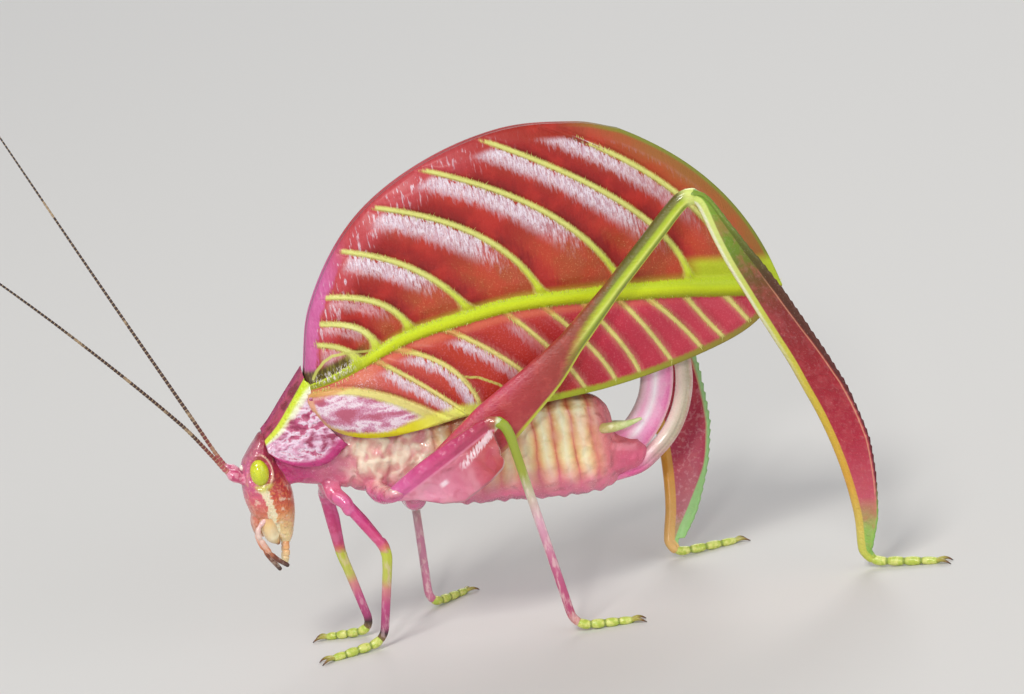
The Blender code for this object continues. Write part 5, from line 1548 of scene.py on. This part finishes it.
for name, node, path, widths, outside_value in VALVES:

    def valve_ring(share):
        wide, thick = read(widths, share), read(VALVE_THICKNESS, share)
        furrow = 1 - 0.2 * hump(np.cos(turns), 0.2, 0.12)
        return np.cos(turns) * wide, blunt(np.sin(turns), 0.8) * thick * furrow

    points, faces, values = tube(smooth_line(path, 130), valve_ring, TAIL_KEEL)
    values["share"] = values["drop"] / read(widths, values["along"]) / 2 + 0.5
    values["outside"] = np.full(len(points), outside_value)
    hand_over(add_piece("blade_" + name, points, faces, blade_skin, values), "tail", node)
paint = Paint("tail_feeler", coat=0.4, coat_roughness=0.15, subsurface=0.1)
along, grain, cloud = paint.mark("along"), paint.noise(8.0, 3.0), paint.noise(2.0, 3.0)
colour = paint.ramp(along, (0.0, 206, 176, 110), (0.5, 196, 206, 130), (1.0, 196, 214, 140))
colour = paint.over(colour, (238, 236, 190), (cloud, 0.45, 0.6), 0.4)
paint.bump((cloud, 0.05), (grain, 0.02))
tail_skin = paint.done(colour, paint.scaled(grain, 0.2, 0.3))
for name, path in TAIL_FEELERS.items():
    points, faces, values = tube(smooth_line(path, 40), round_ring(TAIL_FEELER_RADII), DOWN)
    hand_over(add_piece("tail_feeler_" + name, points, faces, tail_skin, values), "tail", "cercus_" + name)

# Floor, light and camera
# The model stands on a plain pale studio floor that runs far back, lit by large soft lamps, and is
# seen from its left side and a little above, with the camera turned as the insect stood.
FLOOR_REACH = 3.0
floor_mesh = bpy.data.meshes.new("studio_floor")
floor_corners = [(FLOOR_REACH * x, FLOOR_REACH * y, 0) for x, y in ((-1, -1), (1, -1), (1, 1), (-1, 1))]
floor_mesh.from_pydata(floor_corners, [], [(0, 1, 2, 3)])
paint = Paint("studio_floor")
floor_mesh.materials.append(paint.done((214, 212, 208), 0.75))
floor = bpy.data.objects.new("studio_floor", floor_mesh)
bpy.context.scene.collection.objects.link(floor)

world = bpy.data.worlds.new("studio_air")
world.use_nodes = True
world.node_tree.nodes["Background"].inputs["Color"].default_value = (0.9, 0.93, 1.0, 1.0)
world.node_tree.nodes["Background"].inputs["Strength"].default_value = 0.38
bpy.context.scene.world = world
bpy.context.scene.view_settings.view_transform = "Standard"


def lamp(name, place, aim, size, watts, colour):
    data = bpy.data.lights.new(name, "AREA")
    data.size = size
    data.energy = watts
    data.color = colour
    thing = bpy.data.objects.new(name, data)
    thing.location = place
    thing.rotation_euler = (Vector(aim) - Vector(place)).to_track_quat("-Z", "Y").to_euler()
    bpy.context.scene.collection.objects.link(thing)


AIM = (0.005, 0.05, 0.018)
lamp("key_lamp", (-0.72, -1.02, 1.56), AIM, 0.6, 19.5, (1.0, 0.98, 0.94))
lamp("fill_lamp", (1.2, -1.56, 0.72), AIM, 1.3, 8.0, (0.95, 0.97, 1.0))
lamp("back_lamp", (0.6, 1.44, 1.2), AIM, 0.96, 11.0, (1.0, 1.0, 1.0))
lamp("glint_lamp", (-0.2, -0.62, 0.27), (-0.002, 0.0, 0.014), 0.07, 1.1, (1.0, 0.99, 0.97))

PLACE = (-25.56, -181.84, 56.85)
RIGHT, UP = Vector((0.9705, -0.1725, -0.1684)), Vector((0.199, 0.1789, 0.9635))
camera_data = bpy.data.cameras.new("camera")
camera_data.lens = 100.0
camera_data.sensor_width = 36.0
camera_data.clip_start = 0.01
camera_data.clip_end = 20.0
camera = bpy.data.objects.new("camera", camera_data)
RIGHT.normalize()
UP = (UP - RIGHT * UP.dot(RIGHT)).normalized()
turn = Matrix((RIGHT, UP, RIGHT.cross(UP))).transposed()
camera.matrix_world = Matrix.Translation(Vector((np.array(PLACE) - MODEL_MIDDLE) * MM)) @ turn.to_4x4()
bpy.context.scene.collection.objects.link(camera)
bpy.context.scene.camera = camera
